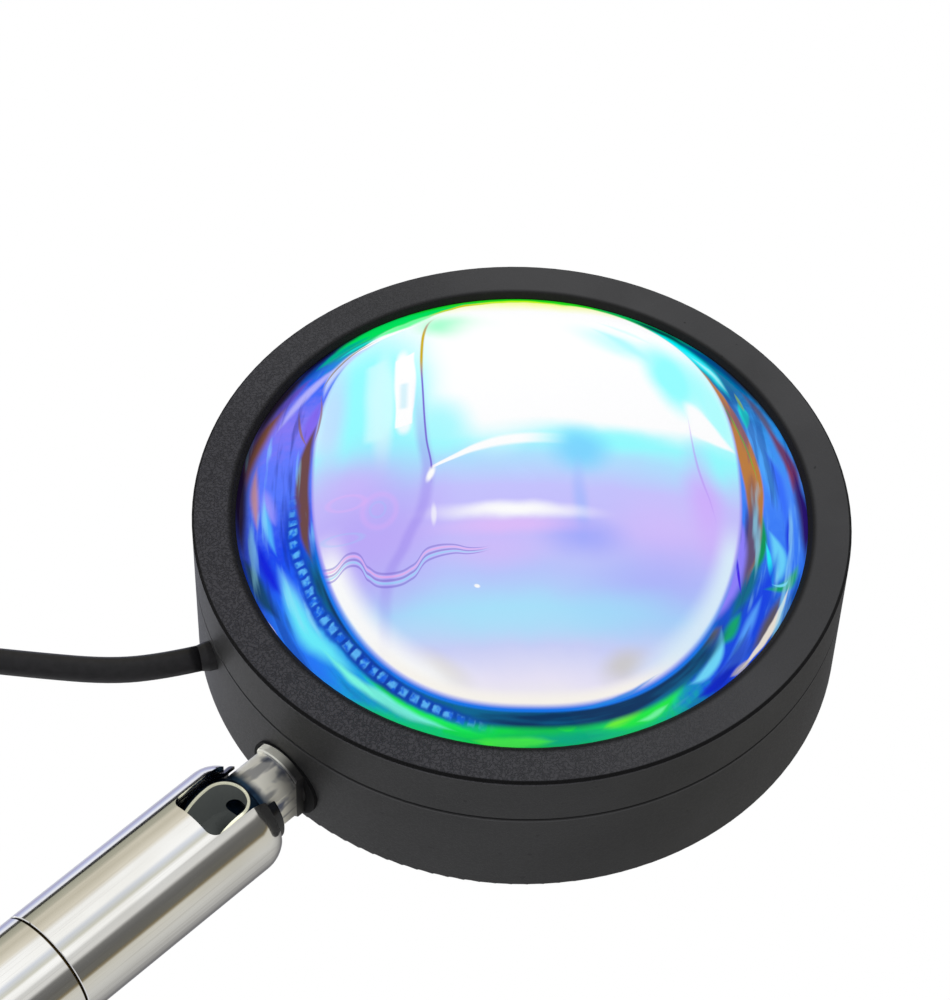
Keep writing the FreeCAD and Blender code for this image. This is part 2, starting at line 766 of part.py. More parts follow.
def base_pad():
    outer = BASE_R - BASE_SHEET - PAD_GAP
    return turned([
        (0.0, 0.0),
        (outer - PAD_BREAK, 0.0),
        (outer, PAD_BREAK),
        (outer, PAD_T),
        (0.0, PAD_T),
    ])


def base_washer():
    high = PAD_T + BOLT_WELL_DEPTH
    low = high - BASE_WASHER_T
    washer = cylinder(BASE_WASHER_R, low, high)
    return washer.cut(cylinder(BOLT_R + BOLT_CLEAR, low - OVER, high + OVER))


def base_bolt():
    under_head = PAD_T + BOLT_WELL_DEPTH - BASE_WASHER_T
    head = hexagon(BOLT_HEAD_AF, PAD_T + BOLT_HEAD_GAP, under_head)
    return head.fuse(cylinder(BOLT_R, under_head - SUNK, BOLT_TOP)).removeSplitter()


# ---------------------------------------------------------------- lead and plug

def coil_point(turn):
    """A point on the middle of the put-away coil, after so many turns, from its top layer down."""
    done = 0.0
    radius = COIL_MEAN_R + COIL_LAYERS[0] * TURN_PITCH / 2
    inward = True
    for k, turns in enumerate(COIL_LAYERS):
        if turn <= done + turns or k == len(COIL_LAYERS) - 1:
            break
        radius += (-1 if inward else 1) * turns * TURN_PITCH
        done += turns
        inward = not inward
    radius += (-1 if inward else 1) * (turn - done) * TURN_PITCH
    layer = 0.0
    change = 0.0
    for turns in COIL_LAYERS[:-1]:
        change += turns
        layer += min(max((turn - change + 0.25) / 0.5, 0.0), 1.0)
    height = CORD_R + FLOOR_GAP + (len(COIL_LAYERS) - 1 - layer) * LAYER_PITCH
    angle = -math.pi / 2 - 2 * math.pi * turn
    return V(COIL_CENTRE[0] + radius * math.cos(angle), COIL_CENTRE[1] + radius * math.sin(angle), height)


def coil_tangent(turn):
    total = sum(COIL_LAYERS)
    if turn <= 0 or turn >= total:
        angle = -math.pi / 2 - 2 * math.pi * turn
        return V(math.sin(angle), -math.cos(angle), 0)
    return (coil_point(turn + 0.05) - coil_point(turn - 0.05)).normalize()


def biarc(start, along, end, onto):
    """Two arcs that join two points and keep both directions, with equal tangent lengths."""
    chord = end - start
    both = along + onto
    a = 2 * (1 - along.dot(onto))
    b = 2 * chord.dot(both)
    c = -chord.dot(chord)
    length = -c / b if abs(a) < 1e-9 else (-b + math.sqrt(b * b - 4 * a * c)) / (2 * a)
    first = start + along * length
    last = end - onto * length
    join = (first + last) * 0.5
    arcs = []
    for p, corner, q in ((start, first, join), (join, last, end)):
        base = (p + q) * 0.5
        rise = corner - base
        half = (q - p).Length / 2
        reach = math.sqrt(half * half + rise.Length * rise.Length)
        sagitta = half * rise.Length / (reach + half)
        arcs.append(Part.Arc(p, base + rise.normalize() * sagitta, q).toShape())
    return arcs


def cable_coil():
    """The unseen length of the lead, wound in four layers as one unbroken tube."""
    total = sum(COIL_LAYERS)
    steps = int(round(total * 4))
    straight = LEAD_D
    start = coil_point(0)
    end = coil_point(total)
    edges = [Part.LineSegment(start - coil_tangent(0) * straight, start).toShape()]
    for k in range(steps):
        a, b = k / 4, (k + 1) / 4
        edges += biarc(coil_point(a), coil_tangent(a), coil_point(b), coil_tangent(b))
    edges.append(Part.LineSegment(end, end + coil_tangent(total) * straight).toShape())
    path = Part.Wire(edges)
    ring = Part.Wire([Part.makeCircle(CORD_R, start - coil_tangent(0) * straight, coil_tangent(0))])
    coil = path.makePipeShell([ring], True, False)
    ratio = coil.Volume / (math.pi * CORD_R * CORD_R * path.Length)
    print(f"coil length {path.Length:.0f} volume ratio {ratio:.4f} least gap {least_gap(edges):.2f}")
    return coil


def least_gap(edges):
    """The smallest distance between two turns of a path, less the lead's thickness."""
    points = []
    along = 0.0
    for edge in edges:
        count = max(2, int(edge.Length / 1.5))
        for k in range(count):
            points.append((along + edge.Length * k / count, edge.valueAt(
                edge.FirstParameter + (edge.LastParameter - edge.FirstParameter) * k / count)))
        along += edge.Length
    best = 1e9
    for i, (s, p) in enumerate(points):
        for t, q in points[i + 1:]:
            if t - s > 8 * LEAD_D:
                best = min(best, (p - q).Length)
    return best - LEAD_D


def route_to_coil():
    """The lead from the head's sleeve to the top of the coil, as it falls beside the base."""
    start = exit_point() + sleeve_direction() * SLEEVE_LENGTH
    coil_start = coil_point(0) - coil_tangent(0) * LEAD_D
    return [
        start,
        start + sleeve_direction() * 4.9,
        V(-25.3, -6.2, 184.3),
        V(-32.8, -6.5, 177.8),
        V(-44.0, -6.7, 168.9),
        V(-52.6, -7.1, 157.2),
        V(-58.6, -7.9, 142.5),
        V(-62.0, -9.1, 121.0),
        V(-62.8, -10.7, 94.0),
        V(-61.5, -12.5, 66.0),
        V(-60.2, -14.0, 44.0),
        V(-61.5, -14.9, 29.5),
        V(-68.2, -15.4, 19.4),
        coil_start + X_AXIS * 10.8,
        coil_start,
    ]


def cable_run():
    return tube_through(route_to_coil(), CORD_R)


def plug_place():
    """Where the plug's moulded body starts, level on the table beside the coil."""
    return V(PLUG_AT[0], PLUG_AT[1], PLUG_BODY[2] / 2 + FLOOR_GAP)


def cable_tail():
    total = sum(COIL_LAYERS)
    start = coil_point(total) + coil_tangent(total) * LEAD_D
    end = plug_place()
    points = [
        start,
        start + coil_tangent(total) * 9.0,
        V(-114.5, 34.5, 2.0),
        V(-106.0, 44.5, 2.6),
        end - X_AXIS * 8.0,
        end,
    ]
    return tube_through(points, CORD_R)


def plug_body():
    """The moulded grip, drawn in to a relief round the lead."""
    length, width, height = PLUG_BODY
    start = plug_place()
    relief, narrow, wide = RELIEF
    grip = block(relief - SUNK, length, -width / 2, width / 2, -height / 2, height / 2)
    lengthways = [e for e in grip.Edges if abs(e.tangentAt(0).x) > 0.9]
    grip = grip.makeFillet(GRIP_CORNER, lengthways)
    neck = Part.makeCone(CORD_R + narrow, CORD_R + wide, relief, V(0, 0, 0), X_AXIS)
    body = grip.fuse(neck).removeSplitter()
    body.translate(start)
    return body


def plug_shell():
    """The folded steel shell of the plug, with its two latch windows on each face."""
    length, width, height = PLUG_SHELL
    start = plug_place() + V(PLUG_BODY[0], 0, 0)
    inner_y = width / 2 - PLUG_SHEET
    inner_z = height / 2 - PLUG_SHEET
    shell = block(0, length, -width / 2, width / 2, -height / 2, height / 2)
    shell = shell.cut(block(-OVER, length + OVER, -inner_y, inner_y, -inner_z, inner_z))
    back = length - LATCH_BACK
    long, half = LATCH_WINDOW[0], LATCH_WINDOW[1] / 2
    for y in (-LATCH_SIDE, LATCH_SIDE):
        for z in (-height / 2, height / 2):
            window = block(back, back + long, y - half, y + half, z - PLUG_SHEET * 2, z + PLUG_SHEET * 2)
            shell = shell.cut(window)
    shell.translate(start)
    return shell


def plug_tongue():
    """The insulator that carries the contacts, in the lower half of the shell."""
    length, width, height = PLUG_SHELL
    start = plug_place() + V(PLUG_BODY[0], 0, 0)
    inner_y = width / 2 - PLUG_SHEET
    low = -height / 2 + PLUG_SHEET
    tongue = block(0, length - TONGUE_BACK, -inner_y, inner_y, low, low + TONGUE_T)
    tongue.translate(start)
    return tongue


def plug_contacts():
    length, width, height = PLUG_SHELL
    start = plug_place() + V(PLUG_BODY[0], 0, 0)
    top = -height / 2 + PLUG_SHEET + TONGUE_T
    half = CONTACT_W / 2
    strips = []
    for y in CONTACT_SIDES:
        strip = block(CONTACT_FROM, length - CONTACT_BACK, y - half, y + half, top, top + CONTACT_T)
        strip.translate(start)
        strips.append(strip)
    return Part.makeCompound(strips)


def main():
    os.makedirs("parts", exist_ok=True)
    for make in (base_pad, base_weight, base_cover, base_washer, base_bolt, stem_insert, stem_foot,
                 stem_tube, tube_bushing, turn_stop_pin,
                 swivel_plug, spindle_washer, spindle_clip, disc_springs, ball_seat_cup, swivel_shell,
                 ball_liner, swivel_ball, neck_washer,
                 rear_housing, front_bezel, dome_lens, lens_gasket, dichroic_filter, retaining_ring,
                 light_chamber, led_board, led_emitter, board_screws, cable_grommet, cable_stop,
                 inner_lead, cable_run, cable_coil, cable_tail, plug_body, plug_shell, plug_tongue,
                 plug_contacts):
        save(make(), make.__name__)


main()
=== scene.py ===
# %% [markdown]
# # A sunset projection lamp, dressed for its portrait
#
# The lamp is a short black drum with a thick dome of coated glass in its mouth. A slotted ball
# swivel holds it on a plated stem. The construction arrives finished: every rigid piece has its
# true size and place already. What is left is the work of a finisher, which is paint, plating,
# glass and the soft lead. Working in the frame of the construction means that nothing has to be
# fitted afterwards.

import bpy
import math
from mathutils import Matrix, Vector


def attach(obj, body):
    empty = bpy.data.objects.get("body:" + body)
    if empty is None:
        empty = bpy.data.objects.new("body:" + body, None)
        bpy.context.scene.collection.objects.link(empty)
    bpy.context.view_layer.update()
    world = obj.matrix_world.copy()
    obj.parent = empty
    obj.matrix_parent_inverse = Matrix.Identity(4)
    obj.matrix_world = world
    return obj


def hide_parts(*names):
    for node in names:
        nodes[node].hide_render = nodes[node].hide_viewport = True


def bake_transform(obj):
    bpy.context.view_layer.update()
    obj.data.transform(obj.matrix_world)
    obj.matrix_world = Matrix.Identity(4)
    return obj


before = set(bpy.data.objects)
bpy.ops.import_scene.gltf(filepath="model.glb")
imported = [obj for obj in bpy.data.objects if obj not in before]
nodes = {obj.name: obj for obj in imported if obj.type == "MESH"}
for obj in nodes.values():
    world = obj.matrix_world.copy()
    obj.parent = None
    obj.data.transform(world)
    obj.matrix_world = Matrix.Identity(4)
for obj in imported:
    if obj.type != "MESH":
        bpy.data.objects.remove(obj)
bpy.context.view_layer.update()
MM = 0.001


def put(name, data):
    """Adds a camera, a lamp, a curve or a mesh to the scene as an object."""
    thing = bpy.data.objects.new(name, data)
    bpy.context.scene.collection.objects.link(thing)
    return thing


# %% [markdown]
# ## The camera
#
# The picture is taken from low down and to the right of the stem, with the camera rolled, so
# that the stem runs up the frame like a diagonal. A rolled camera is easiest to state by its own
# three axes. They are the columns of its rotation, and a camera looks along its own -Z.

# %% Camera
EYE = Vector((193.46, -383.32, 19.03)) * MM
VIEW_RIGHT = Vector((0.7123, -0.0222, 0.7015))
VIEW_UP = Vector((-0.5583, -0.6238, 0.5471))
LENS_MM = 126.0
SENSOR_MM = 36.0

view_back = VIEW_RIGHT.cross(VIEW_UP).normalized()
view_up = view_back.cross(VIEW_RIGHT).normalized()
camera_data = bpy.data.cameras.new("portrait_camera")
camera_data.sensor_fit = "VERTICAL"
camera_data.sensor_height = SENSOR_MM
camera_data.lens = LENS_MM
camera_data.clip_start = 0.01
camera = put("portrait_camera", camera_data)
turned_axes = Matrix((VIEW_RIGHT.normalized(), view_up, view_back)).transposed()
camera.matrix_world = Matrix.Translation(EYE) @ turned_axes.to_4x4()
bpy.context.scene.camera = camera
bpy.context.scene.view_settings.view_transform = "Standard"
print("camera", round(EYE.length, 3), "m from the lamp's foot")

# %% [markdown]
# ## Shader sums as Python sums
#
# A finish is mostly arithmetic on where a point lies: how far from the beam's axis, how high up
# the stem. Wiring that by hand hides the sum. One small class wraps a socket, so that
# `1 - mask` or `height * 3` adds the Math node itself. Every other node comes from `make`, which
# sets the node's settings first and then its sockets.

# %% The socket class
class Wire:
    """An output socket that can be used in Python sums."""

    def __init__(self, tree, socket=None):
        self.tree = tree
        self.socket = socket

    def make(self, kind, settings=None, sockets=None):
        """Adds a node, sets it up, feeds its sockets and returns its first output."""
        node = self.tree.nodes.new("ShaderNode" + kind)
        for name, value in (settings or {}).items():
            if name == "stops":
                set_stops(node.color_ramp, value)
            elif name == "bends":
                set_bends(node.mapping, value)
            else:
                setattr(node, name, value)
        for name, value in (sockets or {}).items():
            if isinstance(value, Wire):
                self.tree.links.new(value.socket, node.inputs[name])
            else:
                node.inputs[name].default_value = value
        return Wire(self.tree, node.outputs[0] if node.outputs else None)

    def out(self, name):
        return Wire(self.tree, self.socket.node.outputs[name])

    def maths(self, operation, *values):
        return self.make("Math", {"operation": operation}, dict(enumerate(values)))

    def vector(self, operation, *values):
        return self.make("VectorMath", {"operation": operation}, dict(enumerate(values)))

    def __add__(self, other):
        return self.maths("ADD", self, other)

    def __sub__(self, other):
        return self.maths("SUBTRACT", self, other)

    def __rsub__(self, other):
        return self.maths("SUBTRACT", other, self)

    def __mul__(self, other):
        return self.maths("MULTIPLY", self, other)

    def __truediv__(self, other):
        return self.maths("DIVIDE", self, other)

    def __pow__(self, other):
        return self.maths("POWER", self, other)

    def __abs__(self):
        return self.maths("ABSOLUTE", self)


def to_light(colour):
    """A colour named in everyday 0 to 255 steps, turned into the linear light of the shaders."""
    if isinstance(colour, Wire):
        return colour

    def linear(step):
        part = step / 255
        return part / 12.92 if part <= 0.04045 else ((part + 0.055) / 1.055) ** 2.4
    return (*(linear(step) for step in colour), 1.0)


def set_stops(ramp, stops):
    """Gives a colour ramp its stops, each a place from 0 to 1 and a colour."""
    while len(ramp.elements) < len(stops):
        ramp.elements.new(1.0)
    for element, (place, colour) in zip(ramp.elements, stops):
        element.position = place
        element.color = to_light(colour)


def set_bends(mapping, bends):
    """Gives a float curve its points, each an (x, y) pair from 0 to 1."""
    curve = mapping.curves[0]
    while len(curve.points) < len(bends):
        curve.points.new(1.0, 1.0)
    for point, bend in zip(curve.points, bends):
        point.location = bend
    mapping.update()


print("the socket class is ready")

# %% [markdown]
# ## A few words for masks
#
# A mask is a value from 0 to 1 that says where something shows. Nearly all of them here are one
# of three: it comes in (`fade`), it lasts `until` a place, or it stays `near` a line. With those
# words, a finish reads almost like its description.

# %% Masks and colours
WHITE = (255, 255, 255)


def part_way(value, low, high, way="LINEAR"):
    """0 below low, 1 above high, and straight in between."""
    return value.make("MapRange", {"interpolation_type": way},
                      {"Value": value, "From Min": low, "From Max": high})


def fade(value, low, high):
    """0 below low, 1 above high, and a soft S between them."""
    return part_way(value, low, high, "SMOOTHSTEP")


def until(value, low, high):
    """1 below low, 0 above high, and a soft S between them."""
    return 1 - fade(value, low, high)


def near(value, close, far):
    """1 while a value is closer to 0 than the one distance, and 0 beyond the other."""
    return until(abs(value), close, far)


def larger(value, *others):
    for other in others:
        value = value.maths("MAXIMUM", value, other)
    return value


def span(first, *others):
    """The length of the line that has these parts along the axes."""
    total = first * first
    for other in others:
        total = total + other * other
    return total ** 0.5


def direction(x, y):
    """Compass degrees of a place, anticlockwise from x."""
    return y.maths("ARCTAN2", y, x) * (180 / math.pi)


def wrapped(turn):
    return turn.maths("WRAP", turn, 180.0, -180.0)


def blend_colour(mask, under, over):
    """Shows one colour under another, through a mask."""
    sockets = {"Factor": mask, 6: to_light(under), 7: to_light(over)}
    return mask.make("Mix", {"data_type": "RGBA"}, sockets).out(2)


def colour_ramp(value, stops):
    """Colours at places along a value, each running into the next."""
    low, high = stops[0][0], stops[-1][0]
    placed = [((place - low) / (high - low), colour) for place, colour in stops]
    return value.make("ValToRGB", {"stops": placed}, {0: part_way(value, low, high)})


def speckle(place, per_mm, detail=2.0, roughness=0.5, stretch=(1, 1, 1)):
    """Soft noise from 0 to 1, with about so many lumps to the millimetre."""
    drawn = place.vector("MULTIPLY", place, stretch)
    return place.make("TexNoise", {}, {"Vector": drawn, "Scale": per_mm, "Detail": detail,
                                       "Roughness": roughness})


def axes_of(place):
    parts = place.make("SeparateXYZ", {}, {0: place})
    return parts.out("X"), parts.out("Y"), parts.out("Z")


print("masks come in, last until a place or stay near a line")

# %% [markdown]
# ## Starting a finish
#
# Each finish starts the same way. `start_finish` makes an empty material and hands back the
# place of a point in millimetres, in the frame of the construction, because a maker thinks in
# millimetres. `lay_finish` feeds the Principled shader and closes the tree, and `dress` puts the
# finish on the pieces that wear it.

# %% Helpers for finishes
def start_finish(name):
    material = bpy.data.materials.new(name)
    material.use_nodes = True
    material.node_tree.nodes.clear()
    metres = Wire(material.node_tree).make("TexCoord").out("Object")
    place = metres.make("VectorMath", {"operation": "SCALE"}, {0: metres, "Scale": 1 / MM})
    return material, place


def bumped(height, depth_mm, strength=1.0):
    """A surface normal for a height from 0 to 1, worth so many millimetres."""
    return height.make("Bump", {}, {"Height": height, "Distance": depth_mm * MM,
                                    "Strength": strength})


def lay_finish(material, **sockets):
    """Feeds the shader's sockets, in which an underscore stands for a space."""
    bare = Wire(material.node_tree)
    named = {name.replace("_", " "): value for name, value in sockets.items()}
    for name in ("Base Color", "Emission Color"):
        if name in named:
            named[name] = to_light(named[name])
    skin = bare.make("BsdfPrincipled", {}, named)
    bare.make("OutputMaterial", {}, {"Surface": skin})
    return material


def dress(material, *names):
    """Puts a finish on pieces of the construction."""
    for name in names:
        mesh = nodes[name].data
        for index in range(len(mesh.materials)):
            mesh.materials[index] = material
    print(material.name, "on", ", ".join(names))


print("finishes are laid in millimetres")

# %% [markdown]
# ## The studio
#
# The picture has a pure white background and soft light from all round. A white world would
# light the lamp too strongly if it also made the background, so Light Path splits the two. What
# the camera sees is white at strength 1. What falls on the lamp is a plain light that is
# strongest from the window's side, at the level where a colour renders about as it is written.
# Polished metal shows what stands round it, so rays that leave a gloss see the studio's flags and
# cards: a ring of tones by compass direction, which draws the long stripes down the plated stem.
# A colour ramp holds the ring, so that one card can shade slowly into the next, or end hard where
# two stops stand close together.

# %% World
TOWARDS_CAMERA_DEG = math.degrees(math.atan2(EYE.y, EYE.x))
CARDS = (
    # what stands there, degrees round from the camera, tone
    ("far wall", -180, (150, 150, 158)),
    ("blue curtain", -166, (208, 211, 225)),
    ("curtain fold", -150, (172, 170, 203)),
    ("curtain edge", -140, (190, 198, 233)),
    ("side window", -131, (240, 243, 255)),
    ("side window's end", -125, (244, 244, 254)),
    ("black flag", -123.2, (18, 17, 16)),
    ("black flag's end", -120.6, (18, 17, 16)),
    ("wall corner", -118, (158, 158, 142)),
    ("wall in shade", -100, (176, 174, 158)),
    ("cream wall", -90, (210, 204, 188)),
    ("cream wall's dip", -80, (200, 194, 177)),
    ("cream wall's end", -62, (224, 218, 203)),
    ("large window", -53, (251, 251, 250)),
    ("large window's end", -28, (255, 255, 254)),
    ("window bar", -21, (214, 219, 230)),
    ("bar in shade", -9, (206, 205, 191)),
    ("window", -5, (255, 255, 254)),
    ("window's end", 4, (255, 255, 254)),
    ("bright gap", 9, (208, 208, 206)),
    ("gap's end", 21, (216, 215, 212)),
    ("grey flag", 27, (116, 115, 113)),
    ("flag's middle", 38, (100, 99, 97)),
    ("flag's end", 56, (103, 101, 94)),
    ("warm edge", 61, (124, 111, 82)),
    ("right card", 66, (202, 199, 188)),
    ("card's slope", 96, (198, 197, 192)),
    ("card's shade", 120, (176, 175, 172)),
    ("card's end", 142, (140, 139, 138)),
    ("far flag", 154, (112, 111, 112)),
    ("flag's slope", 168, (128, 127, 130)),
)
OVERHEAD = (236, 238, 244)
TABLE_GLOW = (226, 226, 224)
FILL_DARK_SIDE = (158, 157, 158)
FILL_LIGHT_SIDE = (240, 241, 244)
WINDOW_WAY = (-0.85, -0.45, 0.27)


def studio_cards(outwards):
    """The ring of cards, with the table's glow below it and the ceiling above."""
    x, y, z = axes_of(outwards)
    ring = [(degrees, tone) for _, degrees, tone in CARDS] + [(180, CARDS[0][2])]
    cards = colour_ramp(wrapped(direction(x, y) - TOWARDS_CAMERA_DEG), ring)
    cards = blend_colour(fade(z, -0.12, 0.0), TABLE_GLOW, cards)
    return blend_colour(fade(z, 0.72, 0.9), cards, OVERHEAD)


def build_world():
    world = bpy.data.worlds.new("studio")
    bpy.context.scene.world = world
    world.use_nodes = True
    world.node_tree.nodes.clear()
    bare = Wire(world.node_tree)
    outwards = bare.make("TexCoord").out("Generated")
    facing = outwards.vector("DOT_PRODUCT", outwards, WINDOW_WAY).out("Value")
    fill = blend_colour(fade(facing, -0.9, 0.9), FILL_DARK_SIDE, FILL_LIGHT_SIDE)
    ray = bare.make("LightPath")

    def glowing(colour):
        return bare.make("Background", {}, {"Color": colour, "Strength": 1.0})

    def split(rays, for_others, for_those):
        return bare.make("MixShader", {}, {0: ray.out(rays), 1: for_others, 2: for_those})

    white = glowing(to_light(WHITE))
    lit = split("Is Glossy Ray", glowing(fill), glowing(studio_cards(outwards)))
    lit = split("Is Transmission Ray", lit, white)
    bare.make("OutputWorld", {}, {"Surface": split("Is Camera Ray", lit, white)})


build_world()
print("studio of", len(CARDS), "cards")

# %% [markdown]
# ## Lamps and floor
#
# One large soft lamp stands high up to the left of the camera. A weaker one stands lower, farther
# round to the left. They give the drum its slow change of tone from the top to the underside.
# They don't show in the gloss, because the cards above already draw what the plating reflects.

# %% Lamps and floor
LAMP_TARGET = Vector((0, 0, 200)) * MM
FLOOR_HALF = 3.0


def soft_lamp(name, where, watts, size):
    data = bpy.data.lights.new(name, "AREA")
    data.energy = watts
    data.size = size
    lamp = put(name, data)
    lamp.location = Vector(where)
    lamp.rotation_euler = (LAMP_TARGET - lamp.location).to_track_quat("-Z", "Y").to_euler()
    lamp.visible_glossy = False


def add_mesh(name, corners, faces, material):
    mesh = bpy.data.meshes.new(name)
    mesh.from_pydata(corners, [], faces)
    mesh.update()
    mesh.materials.append(material)
    return put(name, mesh)


def build_floor():
    """A plain pale table, wide enough to run out of the portrait."""
    material, place = start_finish("pale_table")
    tone = blend_colour(speckle(place, 0.02, detail=3.0), (236, 236, 237), (243, 243, 243))
    lay_finish(material, Base_Color=tone, Roughness=0.9)
    corners = [(FLOOR_HALF * x, FLOOR_HALF * y, 0) for x, y in ((-1, -1), (1, -1), (1, 1), (-1, 1))]
    floor = add_mesh("floor", corners, [(0, 1, 2, 3)], material)


soft_lamp("key_lamp", (-0.55, -0.85, 0.95), 4.0, 0.7)
soft_lamp("side_lamp", (-0.9, 0.35, 0.25), 2.6, 0.4)
build_floor()
print("two lamps and a floor")

# %% [markdown]
# ## Powder coat
#
# The drum and the base wear the same black powder coat: a matte grey-black with a fine leathery
# grain. Real grain is broad hides with creases between them and a finer grain over both, so two
# noises make the bump, and the creases get painted shade. On the face the light only grazes the
# lower part, so the grain grows stronger downwards, and the lower face is painted a little lighter
# as painted light. The wall is painted darker than the face as shade, with a thin painted highlight
# behind the parting line. The broken outer edge and the parting line are painted darker, and the
# lip and throat of the mouth get painted shade. They are found from their distance to the beam's
# axis, so the dark line stays exactly on the edge.

# %% Powder coat on the head
HEAD_R = 44.0
HEAD_Z = 236.0
FRONT_Y = -18.0
FACE_INNER_R = 38.8
OUTER_BREAK = 0.4
PARTING = 8.4
LOW_WAY = 0.56
FRONT_RING = 9.0
FACE_TONES = ((59, 59, 60), (66, 66, 67))
WALL_SHADE_TONES = ((43, 43, 43), (49, 49, 49))
LOW_FACE_PAINTED_LIGHT = (66, 65, 72)
CREASE_SHADE_TONE = (20, 19, 23)
EDGE_AND_SHADE_TONE = (9, 9, 10)


def powder_grain(place):
    """Height from 0 to 1 of a leathery powder coat."""
    hides = speckle(place, 1.5, detail=3.0, roughness=0.62)
    fine = speckle(place, 4.5)
    return fade(abs(hides - 0.5), 0.0, 0.05) * 0.65 + fine * 0.35


def at_wall(out):
    return fade(out, HEAD_R - 1.2, HEAD_R - 0.8)


def dark_edges_and_shade(out, depth):
    """1 on the broken edge and the parting line, painted darker, and on the lip and the throat of the front
    ring, where shade is painted.
    """
    outer_edge = HEAD_R - OUTER_BREAK
    broken = fade(out, outer_edge - 0.02, outer_edge + 0.1) * until(
        depth, OUTER_BREAK - 0.05, OUTER_BREAK + 0.1)
    in_front = until(depth, FRONT_RING, FRONT_RING + 1.0)
    lip = until(out, FACE_INNER_R + 0.05, FACE_INNER_R + 0.75) * in_front * 0.85
    inner_wall = until(out, FACE_INNER_R - 0.1, FACE_INNER_R + 0.1)
    throat = inner_wall * fade(depth, 0.0, 1.1) * in_front
    parting = near(depth - PARTING, 0.1, 0.22) * at_wall(out)
    return larger(broken, lip, parting, throat)


def head_coat():
    material, place = start_finish("powder_coat")
    x, y, z = axes_of(place)
    out = span(x, z - HEAD_Z)
    depth = y - FRONT_Y
    grain = powder_grain(place)
    clouds = fade(speckle(place, 0.05, detail=3.0), 0.35, 0.65)
    on_wall = fade(depth, OUTER_BREAK, OUTER_BREAK + 0.4)
    low = fade((HEAD_Z - z - x * 0.3) * LOW_WAY / HEAD_R, -0.35, 0.5)
    grainy = (low * 0.94 + 0.06) * (1 - on_wall * 0.9)
    # The wall is painted darker than the face: painted shade on the same powder coat.
    tone = blend_colour(on_wall, blend_colour(clouds, *FACE_TONES), blend_colour(clouds, *WALL_SHADE_TONES))
    # Painted light on the lower face, where the light grazes it.
    tone = blend_colour(low * (1 - on_wall) * 0.5, tone, LOW_FACE_PAINTED_LIGHT)
    # Painted shade in the grain's creases, stronger on the lower face.
    tone = blend_colour((1 - grain) * grainy * 0.5, tone, CREASE_SHADE_TONE)
    # A thin painted highlight just behind the parting line.
    highlight_behind_parting = near(depth - PARTING - 0.42, 0.05, 0.2) * at_wall(out)
    tone = blend_colour(highlight_behind_parting * 0.4, tone, (80, 80, 82))
    # Painted shade on the lip and throat of the mouth; the broken edge and parting line painted darker.
    dark = dark_edges_and_shade(out, depth)
    tone = blend_colour(dark, tone, EDGE_AND_SHADE_TONE)
    dust = fade(speckle(place, 0.9, detail=0.0), 0.84, 0.86) * 0.5
    tone = blend_colour(dust, tone, (16, 16, 17))
    shine = grain * 0.12 + dark * 0.25 - on_wall * 0.1 + 0.46
    return lay_finish(material, Base_Color=tone, Roughness=shine, Specular_IOR_Level=0.22,
                      Normal=bumped(grain * grainy, 0.16, 0.9))


dress(head_coat(), "front_bezel", "rear_housing")

# %% [markdown]
# The base wears the same grain more faintly, and has none of the head's edges.

# %% Powder coat on the base
def base_coat():
    material, place = start_finish("powder_coat_base")
    grain = powder_grain(place)
    clouds = fade(speckle(place, 0.04, detail=3.0), 0.35, 0.65)
    tone = blend_colour(clouds, (47, 47, 48), (54, 54, 55))
    # Painted shade in the grain's creases.
    tone = blend_colour((1 - grain) * 0.3, tone, EDGE_AND_SHADE_TONE)
    return lay_finish(material, Base_Color=tone, Roughness=grain * 0.16 + 0.52,
                      Specular_IOR_Level=0.16, Normal=bumped(grain, 0.05, 0.6))


dress(base_coat(), "base_cover")

# %% [markdown]
# ## Plating
#
# The stem, the shell of the swivel and the foot are polished and plated. Such plating is nearly a
# mirror: what makes it look real is what it reflects, with a hair of waviness from the polishing
# wheel and faint smears where it was handled. The lump of the wave is long along the stem,
# because the tube was polished turning.

# %% Plating
SEAM_Z = 150.6
SEAM_HALF = 0.17


def plating():
    material, place = start_finish("plating")
    _, _, z = axes_of(place)
    wave = speckle(place, 0.12, detail=1.0, stretch=(1, 1, 0.12))
    smear = speckle(place, 0.09, detail=3.0, roughness=0.6, stretch=(1, 1, 0.35))
    drawn = speckle(place, 2.4, detail=3.0, roughness=0.6, stretch=(1, 1, 0.012))
    tone = blend_colour(fade(smear, 0.4, 0.7), (252, 252, 251), (240, 239, 235))
    tone = blend_colour(fade(drawn, 0.5, 0.68) * 0.3, tone, (216, 214, 210))
    tone = blend_colour(near(z - SEAM_Z, SEAM_HALF, SEAM_HALF + 0.06), tone, (28, 27, 26))
    return lay_finish(material, Base_Color=tone, Metallic=1.0, Roughness=smear * 0.06 + 0.06,
                      Normal=bumped(wave, 0.004, 0.5))


dress(plating(), "stem_tube", "swivel_shell", "stem_foot")

# %% [markdown]
# ## The ball and its neck
#
# The neck above the ball is only tumbled, so it is cloudy, with dark patches and pale streaks.
# Its right side is painted shade, and its flange has a painted highlight on the left rim and
# painted shade on the right. Down in the liner the ball and the neck are painted dark blue: a
# painted reflection of the black head and liner round them, and their shade. One finish does
# both, with a soft change of tone at the height of the liner's lip. The rim of the window in the
# ball is polished metal with a painted highlight: it is found as the band round the window's
# outline on the ball's surface. The rim and the window's inside also glow a little, for the light
# that a deep hole would swallow, and the inside gets painted shade towards the wire's bore.

# %% Ball and neck
BALL_Z = 180.9
BALL_R = 6.3
WINDOW_HALF = 2.9
WINDOW_SPRING = 0.5
LIP_HEIGHT = 5.2
FLANGE_LOW = 9.6
HOLE_MIDDLE = (0.9, 1.0)


